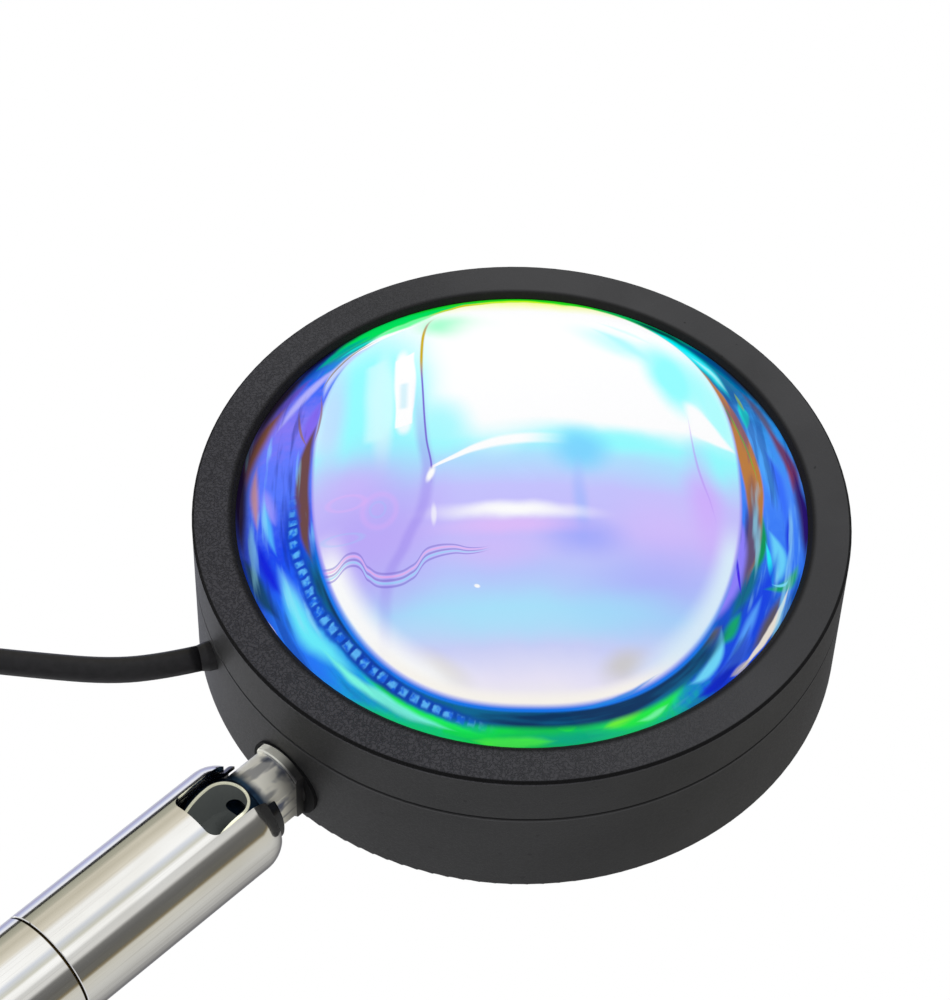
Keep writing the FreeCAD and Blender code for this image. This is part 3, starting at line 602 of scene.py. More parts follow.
def neck_finish(place, x, up, clouds):
    """The neck's colour, and how much of it is dull rather than metal."""
    streaks = speckle(place, 0.45, detail=2.0, stretch=(1, 1, 0.35))
    pale = fade(clouds, 0.4, 0.54)
    tone = blend_colour(pale, (104, 112, 136), (250, 247, 234))
    tone = blend_colour(fade(streaks, 0.54, 0.66) * 0.8, tone, (255, 254, 244))
    tone = blend_colour(until(streaks, 0.34, 0.44) * 0.6, tone, (58, 68, 96))
    # The right side of the neck and of its flange is painted shade; the flange's left rim gets a painted
    # highlight.
    shaded = fade(x, -0.6, 2.6)
    tone = blend_colour(shaded * fade(up, 6.6, 9.4) * 0.7, tone, (62, 60, 62))
    flange = fade(up, FLANGE_LOW - 0.1, FLANGE_LOW + 0.1)
    tone = blend_colour(flange * 0.9, tone, blend_colour(shaded, (255, 254, 240), (48, 47, 48)))
    above_lip = fade(up, LIP_HEIGHT, LIP_HEIGHT + 1.0)
    return tone, above_lip * (pale * 0.55 + flange * 0.25) * (1 - shaded)


def window_masks(x, y, up):
    """1 on the window's rim, and 1 on the walls inside it."""
    from_edge = span(x, larger(up - WINDOW_SPRING, 0.0)) - WINDOW_HALF
    on_skin = fade(span(x, y, up), BALL_R - 0.4, BALL_R - 0.25)
    rim = near(from_edge - 0.1, 0.18, 0.34) * on_skin * until(up, 5.0, 5.4)
    inside = until(from_edge, 0.03, 0.07) * (1 - on_skin) * until(up, 3.6, 3.8)
    return rim, inside


def ball_finish():
    material, place = start_finish("ball_and_neck_with_painted_light_and_shade")
    x, y, z = axes_of(place)
    up = z - BALL_Z
    clouds = speckle(place, 0.2, detail=3.0, roughness=0.55)
    neck, dull = neck_finish(place, x, up, clouds)
    # The ball's dark blue is a painted reflection of the black head and liner, and their shade.
    ball = blend_colour(fade(clouds, 0.4, 0.6), (10, 26, 46), (44, 74, 102))
    tone = blend_colour(fade(up, LIP_HEIGHT - 0.8, LIP_HEIGHT + 0.6), ball, neck)
    rim, inside = window_masks(x, y, up)
    # Painted shade deepens inside the window towards the wire's bore.
    shade_towards_bore = until(span(x - HOLE_MIDDLE[0], up - HOLE_MIDDLE[1]), 0.6, 3.4)
    tone = blend_colour(inside, tone, blend_colour(shade_towards_bore, (74, 77, 75), (36, 38, 38)))
    # The window's rim is a painted highlight, and it glows.
    tone = blend_colour(rim, tone, (252, 252, 232))
    glow = blend_colour(shade_towards_bore, (62, 65, 64), (26, 28, 28))
    glow = blend_colour(rim, glow, (196, 195, 172))
    glow = blend_colour(larger(inside, rim), (0, 0, 0), glow)
    shine = clouds * 0.2 - rim * 0.2 + inside * 0.4 + 0.3
    return lay_finish(material, Base_Color=tone, Metallic=(0.8 - dull) * (1 - inside),
                      Roughness=shine, Emission_Color=glow, Emission_Strength=0.8,
                      Normal=bumped(clouds, 0.02, 0.3))


dress(ball_finish(), "swivel_ball")

# %% [markdown]
# ## Black nylon, rubber and the moulded sleeve
#
# Three blacks sit next to each other at the swivel, and they are told apart by their shine. The
# liner is glossy nylon with a blue cast, the saddle washer is dull rubber, and the sleeve and
# the lead are soft vinyl. Each gets its own roughness and its own lumps, never one flat black.

# %% The blacks
def soft_black(name, dark, light, shine, lumps_per_mm, depth_mm, gloss):
    material, place = start_finish(name)
    lumps = speckle(place, lumps_per_mm, detail=3.0)
    tone = blend_colour(fade(lumps, 0.3, 0.7), dark, light)
    return lay_finish(material, Base_Color=tone, Roughness=lumps * 0.12 + shine,
                      Specular_IOR_Level=gloss, Normal=bumped(lumps, depth_mm, 0.4))


nylon = soft_black("liner_nylon", (6, 8, 14), (16, 21, 32), 0.12, 0.6, 0.01, 0.5)
rubber = soft_black("dull_rubber", (12, 12, 13), (20, 20, 21), 0.6, 1.5, 0.03, 0.12)
vinyl = soft_black("lead_vinyl", (22, 21, 23), (30, 29, 31), 0.4, 0.9, 0.02, 0.3)
dress(nylon, "ball_liner", "ball_seat_cup")
dress(rubber, "neck_washer", "lens_gasket", "base_pad")
dress(vinyl, "cable_grommet", "inner_lead", "plug_body")

# %% [markdown]
# ## The glass dome
#
# The lens is the lamp's face. Behind the thick dome lies a filter that sends one colour forward
# and throws the others back, so the glass shows bands of cyan, green, blue and violet, and the
# dome bends the picture of the white chamber into a large pale oval. Tracing real refraction
# would hold this only by luck, and the exported model would lose it. So the play of colour is
# laid on the dome as a painter would, in strokes and blots at their places on the glass, with a
# clear coat over it that reflects the studio.
#
# Places are in millimetres from the middle of the glass. `across` and `along` are the plane of
# the lens turned by 45 degrees, which is how the oval lies in it. The `soft` pair sways a little,
# which keeps edges from looking ruled. `thread` is noise drawn out round the oval, as the dome
# draws out whatever lies behind it.

# %% Places on the glass
OVAL_ACROSS = 28.6
OVAL_ALONG = 35.6
OVAL_MIDDLE = (0.5, 2.0)
OVAL_POWER = 2.35
RIM_R = 38.5
SWAY = 1.3
ROUND_GRAIN = 1.7
CROSS_GRAIN = 15.0


def oval_distance(across, along):
    """1 on the edge of the pale oval, less inside it."""
    sideways = abs(across - OVAL_MIDDLE[0]) / OVAL_ACROSS
    lengthways = abs(along - OVAL_MIDDLE[1]) / OVAL_ALONG
    return (sideways ** OVAL_POWER + lengthways ** OVAL_POWER) ** (1 / OVAL_POWER)


class Spot:
    """Where a point lies on the glass, in every way that a colour asks for."""

    def __init__(self, place):
        x, _, z = axes_of(place)
        up = z - HEAD_Z
        root = math.sqrt(0.5)
        self.across = (x + up) * root
        self.along = (up - x) * root
        sway = speckle(place, 0.09, detail=1.0) - 0.5
        swirl = speckle(place, 0.17, detail=2.0, stretch=(1, 1, -1)) - 0.5
        self.soft_across = self.across + sway * SWAY
        self.soft_along = self.along + swirl * SWAY
        self.flat = place.make("CombineXYZ", {}, {0: self.soft_across, 1: self.soft_along})
        self.radius = span(self.across, self.along)
        self.turn = direction(self.across, self.along)
        self.oval = oval_distance(self.across, self.along)
        self.sparkle = speckle(place, 0.9)
        ring = place.make("CombineXYZ", {}, {
            0: self.across / self.radius * ROUND_GRAIN, 1: self.along / self.radius * ROUND_GRAIN,
            2: self.oval * CROSS_GRAIN})
        self.thread = speckle(ring, 1.0, detail=3.0, roughness=0.55)

    def turned_from(self, middle):
        """Degrees round the glass between the point and a direction, from 0 to 180."""
        return abs(wrapped(self.turn - middle))


print("the oval is", 2 * OVAL_ACROSS, "by", 2 * OVAL_ALONG, "mm on glass", 2 * RIM_R, "mm across")

# %% [markdown]
# ### Streaks in the belt
#
# Between the oval and the rim runs a belt of strong colour. Its ground is a ring of hues by
# compass direction. Over it lie the streaks, each painted as a brush would: along the arc through
# three places, thick in the middle and pointed at its ends. The circle through three places is
# worked out in Python, so that the shader only measures one distance to its middle. A second,
# shorter list lies over the oval's edge, because there the belt's walls reach in front of it.

# %% Streaks
BELT_HUES = (
    # compass degrees on the glass, hue
    (-180, (84, 120, 255)), (-164, (20, 70, 240)), (-146, (30, 110, 255)), (-124, (20, 170, 230)),
    (-106, (0, 226, 84)), (-84, (10, 216, 70)), (-62, (0, 200, 132)), (-48, (16, 72, 240)),
    (-30, (14, 84, 200)), (-14, (50, 120, 250)), (6, (70, 140, 255)), (20, (50, 150, 240)),
    (34, (0, 110, 176)), (48, (0, 130, 150)), (62, (0, 206, 110)), (90, (30, 224, 50)),
    (112, (0, 224, 90)), (128, (0, 170, 170)), (142, (40, 104, 250)), (158, (134, 122, 246)),
    (170, (96, 122, 255)), (180, (84, 120, 255)),
)
STREAKS = (
    # name, colour, start, middle, end, half width, softness, strength
    ("dark rim, top right", (0, 74, 78), (14.8, 35.0), (20.0, 32.0), (25.0, 28.2), 1.1, 0.9, 1.0),
    ("green rim, top", (14, 228, 58), (-1.8, 38.4), (6.0, 38.0), (13.4, 35.4), 1.3, 0.8, 1.0),
    ("mint, top right", (64, 255, 124), (8.6, 36.6), (14.4, 33.8), (19.0, 29.4), 1.2, 0.9, 1.0),
    ("grey-green hair line", (112, 164, 104), (7.4, 36.6), (11.2, 35.2), (14.6, 33.2), 0.2, 0.6, 0.8),
    ("teal, top right", (0, 206, 160), (16.2, 32.8), (20.0, 30.4), (23.4, 26.8), 1.0, 0.9, 1.0),
    ("cyan run", (0, 238, 250), (19.8, 31.0), (24.6, 26.0), (29.2, 17.4), 1.4, 0.8, 1.0),
    ("deep sea band", (0, 78, 140), (21.0, 31.0), (27.2, 26.2), (31.8, 19.4), 1.1, 0.8, 1.0),
    ("slate rim", (36, 42, 58), (25.6, 28.6), (31.4, 22.4), (35.0, 15.4), 1.3, 0.8, 1.0),
    ("pale cyan thread", (156, 250, 255), (23.2, 27.4), (26.4, 23.6), (28.8, 19.2), 0.6, 0.9, 1.0),
    ("grey violet wall", (86, 80, 112), (30.4, 20.8), (33.0, 16.6), (35.2, 11.2), 1.1, 0.9, 0.9),
    ("azure fall", (76, 168, 255), (29.6, 16.4), (32.2, 8.8), (33.8, -2.0), 2.2, 0.8, 1.0),
    ("blue fall", (52, 112, 255), (32.8, 9.8), (34.6, 3.0), (35.0, -5.0), 1.3, 0.9, 1.0),
    ("maroon wall", (108, 56, 100), (33.4, 15.0), (36.2, 8.8), (37.2, 1.0), 1.4, 0.8, 1.0),
    ("red glow on the wall", (134, 38, 66), (35.4, 9.8), (36.4, 6.0), (36.6, 2.6), 0.9, 1.0, 0.8),
    ("indigo wall", (42, 22, 112), (36.8, 6.4), (37.8, -0.2), (37.0, -9.0), 1.6, 0.8, 1.0),
    ("dark rim line, right", (14, 12, 30), (36.2, 15.0), (38.8, 5.0), (38.4, -5.0), 0.5, 0.8, 0.9),
    ("cyan thread, right", (64, 222, 240), (29.8, 12.8), (31.4, 4.2), (31.8, -3.0), 0.45, 0.8, 0.9),
    ("bronze crescent", (188, 124, 62), (20.6, 29.0), (30.2, 7.4), (28.6, -15.6), 1.5, 0.25, 1.0),
    ("tan end of the crescent", (170, 150, 104), (20.2, 29.6), (24.8, 21.6), (28.6, 13.0), 0.8, 0.7, 0.9),
    ("violet end of the crescent", (98, 82, 118), (30.8, 1.2), (30.0, -7.0), (28.2, -15.8), 1.7, 0.6, 1.0),
    ("umber turn of the crescent", (140, 94, 84), (30.7, 5.0), (30.5, 0.4), (30.0, -4.2), 1.3, 1.0, 0.8),
    ("olive edge", (120, 172, 44), (26.4, 19.2), (29.6, 11.4), (31.6, 1.0), 0.18, 0.6, 0.9),
    ("teal jewel", (0, 232, 220), (29.7, 18.0), (30.6, 15.4), (30.8, 12.4), 0.9, 0.6, 1.0),
    ("gold fleck", (146, 200, 90), (29.4, 20.2), (30.0, 18.2), (30.7, 16.0), 0.35, 0.7, 0.9),
    ("green strip", (0, 150, 88), (31.8, -2.0), (31.4, -8.0), (29.2, -14.0), 0.8, 0.8, 1.0),
    ("sea band", (0, 108, 138), (31.6, -9.0), (29.0, -15.0), (26.2, -20.0), 1.4, 0.9, 1.0),
    ("ice blue blob", (104, 212, 255), (32.2, -4.2), (33.7, -8.8), (32.4, -13.4), 1.6, 0.7, 1.0),
    ("cyan edge of the blob", (30, 236, 250), (31.8, -6.2), (32.4, -10.2), (32.8, -14.0), 0.5, 0.7, 1.0),
    ("blue curl", (20, 60, 230), (35.6, -0.4), (35.4, -4.4), (34.6, -8.6), 0.8, 0.8, 1.0),
    ("lilac inlay", (144, 130, 255), (28.0, -2.0), (27.2, -13.0), (23.6, -20.2), 1.9, 0.6, 1.0),
    ("violet hair line", (70, 40, 232), (27.4, -8.6), (27.9, -12.4), (28.3, -16.2), 0.28, 0.6, 1.0),
    ("deep blue, lower right", (10, 66, 232), (32.6, -11.6), (30.2, -18.0), (23.8, -28.0), 2.1, 0.8, 1.0),
    ("sky streak", (84, 162, 255), (31.4, -14.6), (28.8, -20.4), (25.4, -25.8), 0.9, 0.9, 1.0),
    ("blue sweep", (58, 110, 255), (29.6, -19.0), (27.0, -25.0), (22.2, -29.8), 1.3, 0.8, 1.0),
    ("pure blue heart", (0, 38, 232), (27.4, -25.0), (25.0, -27.8), (21.4, -30.6), 1.1, 0.8, 1.0),
    ("brown smoke", (90, 84, 100), (34.0, -13.6), (31.8, -18.8), (28.6, -23.8), 1.0, 0.9, 1.0),
    ("green flecks, right", (0, 160, 108), (36.4, -8.2), (34.8, -12.2), (32.6, -13.8), 1.0, 0.8, 1.0),
    ("cyan curl", (116, 226, 255), (35.0, -11.2), (34.0, -12.6), (33.0, -13.0), 0.3, 0.8, 0.9),
    ("blue rim, right", (24, 86, 186), (37.0, -8.0), (34.0, -17.0), (30.6, -21.8), 0.6, 0.8, 1.0),
    ("white glint", (240, 232, 220), (34.8, -13.0), (31.8, -19.8), (26.6, -27.0), 0.42, 0.5, 1.0),
    ("glint's tail", (206, 196, 182), (29.0, -24.0), (27.8, -25.6), (26.2, -27.2), 0.6, 0.6, 0.7),
    ("umber patch", (124, 108, 92), (25.6, -20.2), (22.8, -23.2), (20.0, -25.6), 1.6, 0.8, 1.0),
    ("sea-green patch", (0, 168, 112), (28.4, -17.8), (26.6, -20.8), (25.0, -23.2), 1.2, 0.8, 1.0),
    ("cyan fold", (112, 220, 255), (25.2, -21.8), (24.2, -25.4), (20.6, -29.2), 1.1, 0.7, 1.0),
    ("mint swirl", (0, 204, 172), (21.4, -26.6), (19.2, -29.2), (19.0, -32.0), 1.0, 0.8, 1.0),
    ("teal eye", (0, 140, 130), (19.6, -28.4), (18.6, -29.8), (18.4, -31.0), 0.5, 0.9, 0.9),
    ("green swoosh", (28, 240, 72), (8.6, -35.6), (15.4, -32.8), (21.2, -28.0), 1.8, 0.7, 1.0),
    ("lime heart", (112, 252, 52), (9.6, -35.6), (12.4, -33.8), (15.6, -32.2), 1.0, 0.9, 1.0),
    ("mint light", (120, 255, 170), (14.0, -34.2), (16.2, -33.2), (18.4, -31.4), 0.5, 0.9, 0.9),
    ("sea green, foot", (0, 194, 132), (-1.4, -37.0), (6.6, -36.8), (15.4, -34.2), 1.3, 0.9, 1.0),
    ("lime end", (70, 255, 60), (-7.4, -37.2), (-1.6, -37.6), (4.6, -37.0), 1.0, 0.7, 1.0),
    ("green fleck", (30, 232, 70), (3.8, -35.8), (5.2, -35.7), (6.6, -35.5), 0.55, 0.5, 0.9),
    ("green, lower left", (0, 232, 116), (-24.6, -29.4), (-16.0, -35.0), (-6.6, -37.6), 1.5, 0.9, 1.0),
    ("inner green", (20, 244, 92), (-20.4, -28.6), (-14.0, -33.4), (-4.6, -36.8), 1.1, 0.9, 1.0),
    ("azure band", (34, 122, 255), (-33.8, -14.0), (-29.8, -22.2), (-22.4, -30.0), 2.7, 0.9, 1.0),
    ("light azure", (112, 192, 255), (-32.6, -9.8), (-30.2, -16.2), (-26.0, -21.8), 1.6, 1.0, 0.9),
    ("cyan band", (104, 240, 255), (-31.8, -12.2), (-28.0, -21.0), (-21.0, -28.2), 2.1, 0.9, 1.0),
    ("bright thread", (124, 255, 232), (-26.0, -24.0), (-18.8, -31.2), (-8.4, -36.4), 0.9, 0.8, 1.0),
    ("dark teal rim", (0, 76, 128), (-37.4, -7.0), (-34.8, -13.6), (-31.6, -19.0), 1.3, 0.8, 1.0),
    ("deep blue wall", (0, 30, 222), (-35.2, -5.6), (-33.8, -11.0), (-31.6, -15.6), 1.3, 0.9, 1.0),
    ("glint, lower left", (236, 226, 244), (-36.2, -13.2), (-34.0, -18.0), (-30.0, -23.2), 0.28, 0.6, 1.0),
    ("light violet wall", (152, 150, 255), (-34.4, 3.0), (-33.8, -1.2), (-32.6, -5.0), 1.5, 1.0, 0.9),
    ("azure thread, left", (84, 182, 255), (-34.4, -0.6), (-33.8, -4.6), (-32.2, -9.6), 0.8, 0.9, 1.0),
    ("rose strip", (190, 140, 158), (-35.2, 7.6), (-35.7, 1.0), (-35.2, -5.0), 0.9, 0.9, 0.95),
    ("navy rim, left", (28, 18, 78), (-36.6, 9.8), (-37.7, 1.8), (-36.6, -9.0), 1.5, 0.8, 1.0),
    ("brown wall", (150, 94, 74), (-32.0, 17.6), (-35.3, 11.2), (-36.8, 2.0), 1.6, 0.9, 1.0),
    ("dark grey wall", (58, 50, 74), (-28.0, 25.0), (-33.2, 18.8), (-36.2, 10.8), 1.4, 0.9, 1.0),
    ("violet wall", (110, 90, 222), (-28.2, 23.0), (-31.6, 18.8), (-34.0, 15.0), 0.9, 0.8, 1.0),
    ("lavender ribbon", (178, 176, 252), (-24.2, 24.4), (-29.2, 18.8), (-33.4, 11.4), 1.2, 0.8, 1.0),
    ("violet pocket", (130, 104, 240), (-27.2, 16.4), (-28.4, 12.0), (-28.8, 7.0), 1.4, 0.8, 1.0),
    ("brown hair line", (150, 112, 112), (-30.1, 16.0), (-29.8, 11.6), (-28.4, 7.2), 0.25, 0.7, 0.9),
    ("left throat", (108, 72, 74), (-27.6, 12.0), (-29.3, 0.0), (-27.4, -13.0), 1.25, 0.5, 1.0),
    ("deep blue rim, top left", (8, 40, 150), (-23.6, 30.8), (-27.6, 26.8), (-30.4, 22.8), 1.0, 0.8, 1.0),
    ("bright blue, top left", (0, 112, 255), (-24.2, 29.2), (-27.8, 24.8), (-30.8, 20.4), 1.1, 0.8, 1.0),
)
EDGE_STREAKS = (
    # the same, for those that lie over the oval's edge
    ("green, top left", (0, 226, 92), (-25.4, 27.2), (-16.2, 33.8), (-1.0, 38.2), 1.9, 0.5, 1.0),
    ("teal behind the green", (0, 172, 150), (-20.0, 31.0), (-24.6, 27.6), (-28.4, 23.8), 1.2, 0.9, 1.0),
    ("cyan thread in the teal", (0, 222, 208), (-18.8, 30.0), (-22.4, 27.8), (-25.4, 25.4), 0.45, 0.9, 1.0),
    ("mint, top left", (112, 255, 160), (-10.2, 35.2), (-16.2, 31.8), (-21.8, 28.4), 1.0, 0.8, 1.0),
    ("green rim, top left", (10, 222, 52), (-18.2, 34.0), (-10.6, 37.0), (-2.0, 38.6), 1.1, 0.7, 1.0),
    ("yellow edge", (206, 214, 10), (-12.2, 34.2), (-7.6, 36.2), (-1.4, 37.0), 0.45, 0.7, 1.0),
    ("green crown", (40, 232, 30), (-11.6, 36.0), (0.4, 38.3), (13.4, 35.0), 1.2, 0.5, 1.0),
    ("lime crown", (196, 250, 30), (-8.4, 36.1), (0.0, 37.4), (8.6, 36.1), 0.55, 0.8, 1.0),
    ("pale corner", (196, 212, 255), (-19.8, 28.0), (-24.6, 23.6), (-26.8, 16.0), 1.1, 0.8, 1.0),
    ("white run", (255, 255, 255), (-13.2, 32.2), (-19.8, 28.6), (-25.4, 23.6), 0.5, 0.6, 1.0),
    ("beige hair line", (152, 138, 124), (-18.8, 29.2), (-24.4, 24.4), (-27.2, 18.2), 0.22, 0.6, 0.9),
    ("brown edge, left", (150, 112, 122), (-27.2, 18.8), (-27.2, 13.0), (-28.1, 7.4), 0.22, 0.7, 0.8),
    ("azure throat lights", (30, 140, 236), (5.0, -33.6), (11.6, -31.6), (17.6, -28.0), 0.4, 0.9, 0.8),
    ("lilac line, right", (188, 150, 246), (22.0, 13.2), (23.4, 3.0), (25.6, -7.8), 0.28, 1.0, 0.7),
    ("pale slant", (176, 250, 255), (9.8, 30.0), (14.6, 26.4), (19.0, 21.4), 1.6, 1.0, 0.8),
    ("pale slant, upper", (206, 255, 255), (11.0, 31.8), (15.0, 30.0), (19.0, 27.0), 0.8, 1.0, 0.6),
)


def circle_through(first, second, third):
    """Middle and radius of the circle through three places."""
    (ax, ay), (bx, by), (cx, cy) = first, second, third
    turn = 2 * (ax * (by - cy) + bx * (cy - ay) + cx * (ay - by))
    a, b, c = ax * ax + ay * ay, bx * bx + by * by, cx * cx + cy * cy
    middle = ((a * (by - cy) + b * (cy - ay) + c * (ay - by)) / turn,
              (a * (cx - bx) + b * (ax - cx) + c * (bx - ax)) / turn)
    return middle, math.dist(middle, first)


def distance_to(flat, place):
    return flat.vector("DISTANCE", flat, (*place, 0)).out("Value")


def streak(flat, start, middle, end, half_width, soft):
    """A stroke on the arc through three places, thick in the middle and pointed at its ends."""
    centre, radius = circle_through(start, middle, end)
    half_length = max(math.dist(start, middle), math.dist(middle, end))
    off = abs(distance_to(flat, centre) - radius)
    run = distance_to(flat, middle) / half_length
    return fade((1 - run * run) * half_width - off, 0.0, half_width * soft)


def lay_streaks(colour, flat, streaks):
    """All the streaks over a ground, from the first to the last."""
    for _, tone, start, middle, end, half_width, soft, strength in streaks:
        shape = streak(flat, start, middle, end, half_width, soft)
        colour = blend_colour(shape * strength, colour, tone)
    return colour


print(len(STREAKS), "streaks in the belt and", len(EDGE_STREAKS), "over its edge")

# %% [markdown]
# ### The belt
#
# Threads darken and lighten the painted belt: not at its top, and only weakly at its foot. The
# rim falls into shade at the upper left. Along the foot the dark throat of the ring shows right
# below the oval, behind a thin azure line.

# %% The belt
RIM_SHADE = 3.4
SHADE_MIDDLE_DEG = 140
FOOT_MIDDLE_DEG = -100


def belt_colours(spot):
    thread, along = spot.thread, spot.along
    ground = colour_ramp(spot.turn + (spot.sparkle - 0.5) * 12, BELT_HUES)
    colour = lay_streaks(ground, spot.flat, STREAKS)
    sides = until(along, 14.0, 27.0) * (fade(along, -34.0, -25.0) * 0.65 + 0.35)
    colour = blend_colour(until(thread, 0.34, 0.46) * sides * 0.5, colour, (0, 34, 132))
    colour = blend_colour(fade(thread, 0.56, 0.7) * sides * 0.55, colour, (150, 228, 255))
    upper = until(spot.turned_from(SHADE_MIDDLE_DEG), 40, 80)
    shaded = fade(spot.radius, RIM_R - RIM_SHADE, RIM_R - 0.3) * upper
    colour = blend_colour(shaded * 0.85, colour, (22, 12, 26))
    foot = until(spot.turned_from(FOOT_MIDDLE_DEG), 52, 66)
    throat = blend_colour(fade(thread, 0.4, 0.58), (0, 52, 98), (0, 104, 150))
    colour = blend_colour(foot * until(spot.oval, 1.05, 1.075), colour, throat)
    return blend_colour(foot * until(spot.oval, 1.006, 1.016), colour, (14, 120, 240))


print("the rim's shade is", RIM_SHADE, "mm wide")

# %% [markdown]
# ### The ribs
#
# At the lower left the eye looks past the oval's edge into the throat of the retaining ring. The
# glass draws the ring's ribs as a row of light blue studs. Their row is an arc too, and the studs
# come from a sine of the way along it, broken up by a little noise.

# %% Ribs
STUD_ROW = ((-30.5, -5.0), (-24.2, -22.6), (-4.0, -36.0))
STUD_PITCH = 1.62
STUD_HALF = 0.62
STUD_TONES = ((16, 104, 240), (96, 190, 255))
ROW_MIDDLE, ROW_R = circle_through(*STUD_ROW)


def ribs(colour, spot):
    x, y, _ = axes_of(spot.flat)
    noise = spot.sparkle - 0.5
    way = direction(x - ROW_MIDDLE[0], y - ROW_MIDDLE[1]) * math.radians(ROW_R / STUD_PITCH)
    wave = (way + noise * 0.45) * (2 * math.pi)
    studs = fade(wave.maths("SINE", wave), -0.95, 0.1)
    off = abs(distance_to(spot.flat, ROW_MIDDLE) - ROW_R + noise * 0.4)
    shown = until(distance_to(spot.flat, STUD_ROW[1]), 17.0, 25.0)
    row = shown * until(off, STUD_HALF - 0.1, STUD_HALF + 0.6)
    colour = blend_colour(row * 0.8, colour, (0, 62, 190))
    bead = shown * studs * until(off, STUD_HALF - 0.4, STUD_HALF + 0.1)
    tone = blend_colour(fade(spot.sparkle, 0.36, 0.6), *STUD_TONES)
    return blend_colour(bead * (spot.sparkle * 0.4 + 0.65), colour, tone)


print("studs every", STUD_PITCH, "mm on an arc of radius", round(ROW_R, 1), "mm")

# %% [markdown]
# ### Blots in the oval
#
# Inside the oval the colours are pale and soft, like watercolour: white where a window is painted
# as a reflection, a cyan band under it, lavender below, and a cream light at the foot. A blot is
# a soft ellipse: where its middle is, its two radii, its tilt, and how hard its edge is. The
# window's bright panes, painted reflections too, have straight sides, so each is the space inside
# four lines.

# %% Blots
OVAL_STOPS = (
    # along in millimetres, colour
    (-34.0, (255, 250, 242)),
    (-30.0, (236, 232, 252)),
    (-26.0, (206, 212, 252)),
    (-21.0, (172, 222, 255)),
    (-16.0, (186, 200, 255)),
    (-10.0, (200, 190, 254)),
    (-3.0, (198, 196, 255)),
    (2.0, (176, 224, 255)),
    (5.0, (158, 250, 255)),
    (9.0, (255, 255, 255)),
    (34.0, (255, 255, 255)),
    (36.5, (250, 255, 170)),
)
OVAL_BLOTS = (
    # colour, across, along, radius across, radius along, tilt in degrees, edge, strength
    ((150, 252, 255), -20.0, 13.0, 9.5, 19.0, 0, 0.6, 1.0),
    ((124, 255, 190), -8.5, 30.0, 6.0, 3.4, -20, 0.7, 0.85),
    ((255, 255, 255), -4.0, 20.0, 8.0, 16.0, 0, 0.5, 1.0),
    ((168, 250, 255), -10.5, 8.0, 4.0, 5.0, 0, 0.8, 0.9),
    ((222, 255, 255), -18.6, 13.0, 1.8, 12.0, 0, 0.5, 0.7),
    ((255, 255, 255), -15.7, 17.0, 1.5, 8.2, 2, 0.25, 1.0),
    ((255, 255, 255), -15.6, 9.0, 1.2, 2.4, 0, 0.5, 0.8),
    ((198, 214, 255), -25.6, 12.0, 2.2, 12.0, -4, 0.8, 0.7),
    ((188, 168, 250), -20.0, -8.0, 9.0, 13.0, -6, 0.8, 0.85),
    ((206, 178, 252), -23.0, -1.0, 6.0, 5.0, 0, 0.9, 0.7),
    ((196, 254, 255), 14.0, 26.0, 7.0, 2.6, -28, 0.8, 0.8),
    ((150, 254, 255), 20.5, 20.0, 3.6, 8.0, 14, 0.6, 1.0),
    ((150, 254, 255), 26.0, 15.0, 2.8, 12.0, 16, 0.7, 0.8),
    ((255, 255, 255), 24.0, 11.6, 1.5, 4.2, 26, 0.4, 0.9),
    ((146, 252, 255), 12.0, 5.6, 9.0, 2.2, 0, 0.8, 0.9),
    ((148, 252, 255), 25.0, 4.6, 4.0, 4.6, 0, 0.8, 0.9),
    ((210, 172, 255), 23.8, -3.0, 2.6, 9.0, 4, 0.9, 0.8),
    ((216, 190, 255), 19.0, -9.0, 7.0, 6.0, 0, 0.9, 0.6),
    ((120, 212, 255), 7.4, 3.4, 4.0, 4.0, 0, 0.8, 0.9),
    ((162, 186, 255), 7.2, -5.4, 1.1, 6.0, 0, 0.9, 0.7),
    ((160, 170, 255), 7.6, -10.6, 5.4, 3.0, 0, 0.9, 0.8),
    ((172, 176, 255), 17.0, -17.0, 10.0, 6.0, 20, 0.9, 0.6),
    ((240, 190, 250), -2.0, -9.2, 9.0, 1.5, 0, 0.9, 0.5),
    ((228, 184, 252), -4.0, -13.0, 7.0, 2.6, 0, 0.9, 0.35),
    ((170, 232, 255), -3.0, -22.0, 13.0, 3.4, 0, 0.9, 0.7),
    ((166, 228, 255), 12.0, -21.0, 8.0, 3.0, 10, 0.9, 0.6),
    ((255, 255, 255), -1.6, -7.0, 10.0, 1.3, 0, 0.9, 1.0),
    ((255, 255, 255), -12.0, -7.2, 0.4, 1.5, 0, 0.6, 0.6),
    ((212, 206, 200), -10.6, -28.8, 4.0, 1.7, -34, 1.0, 0.8),
    ((208, 205, 200), 12.6, -27.6, 3.4, 1.9, 30, 0.9, 0.8),
)
PANES = (
    # name, colour, four corners against the clock, softness, strength
    ("pale pane", (206, 252, 255), ((-21.0, 6.0), (-18.5, 6.2), (-18.5, 23.2), (-21.0, 21.8)), 0.7, 0.8),
    ("white pane", (255, 255, 255), ((-16.8, 8.2), (-14.4, 8.8), (-14.3, 24.2), (-17.0, 22.5)), 0.16, 1.0),
    ("its shade", (206, 240, 250), ((-16.3, 12.0), (-15.3, 12.0), (-15.3, 17.0), (-16.3, 17.0)), 0.4, 0.8),
    ("white sliver", (255, 255, 255), ((22.4, 14.8), (22.6, 8.8), (28.6, 7.2), (25.2, 12.6)), 0.4, 1.0),
)


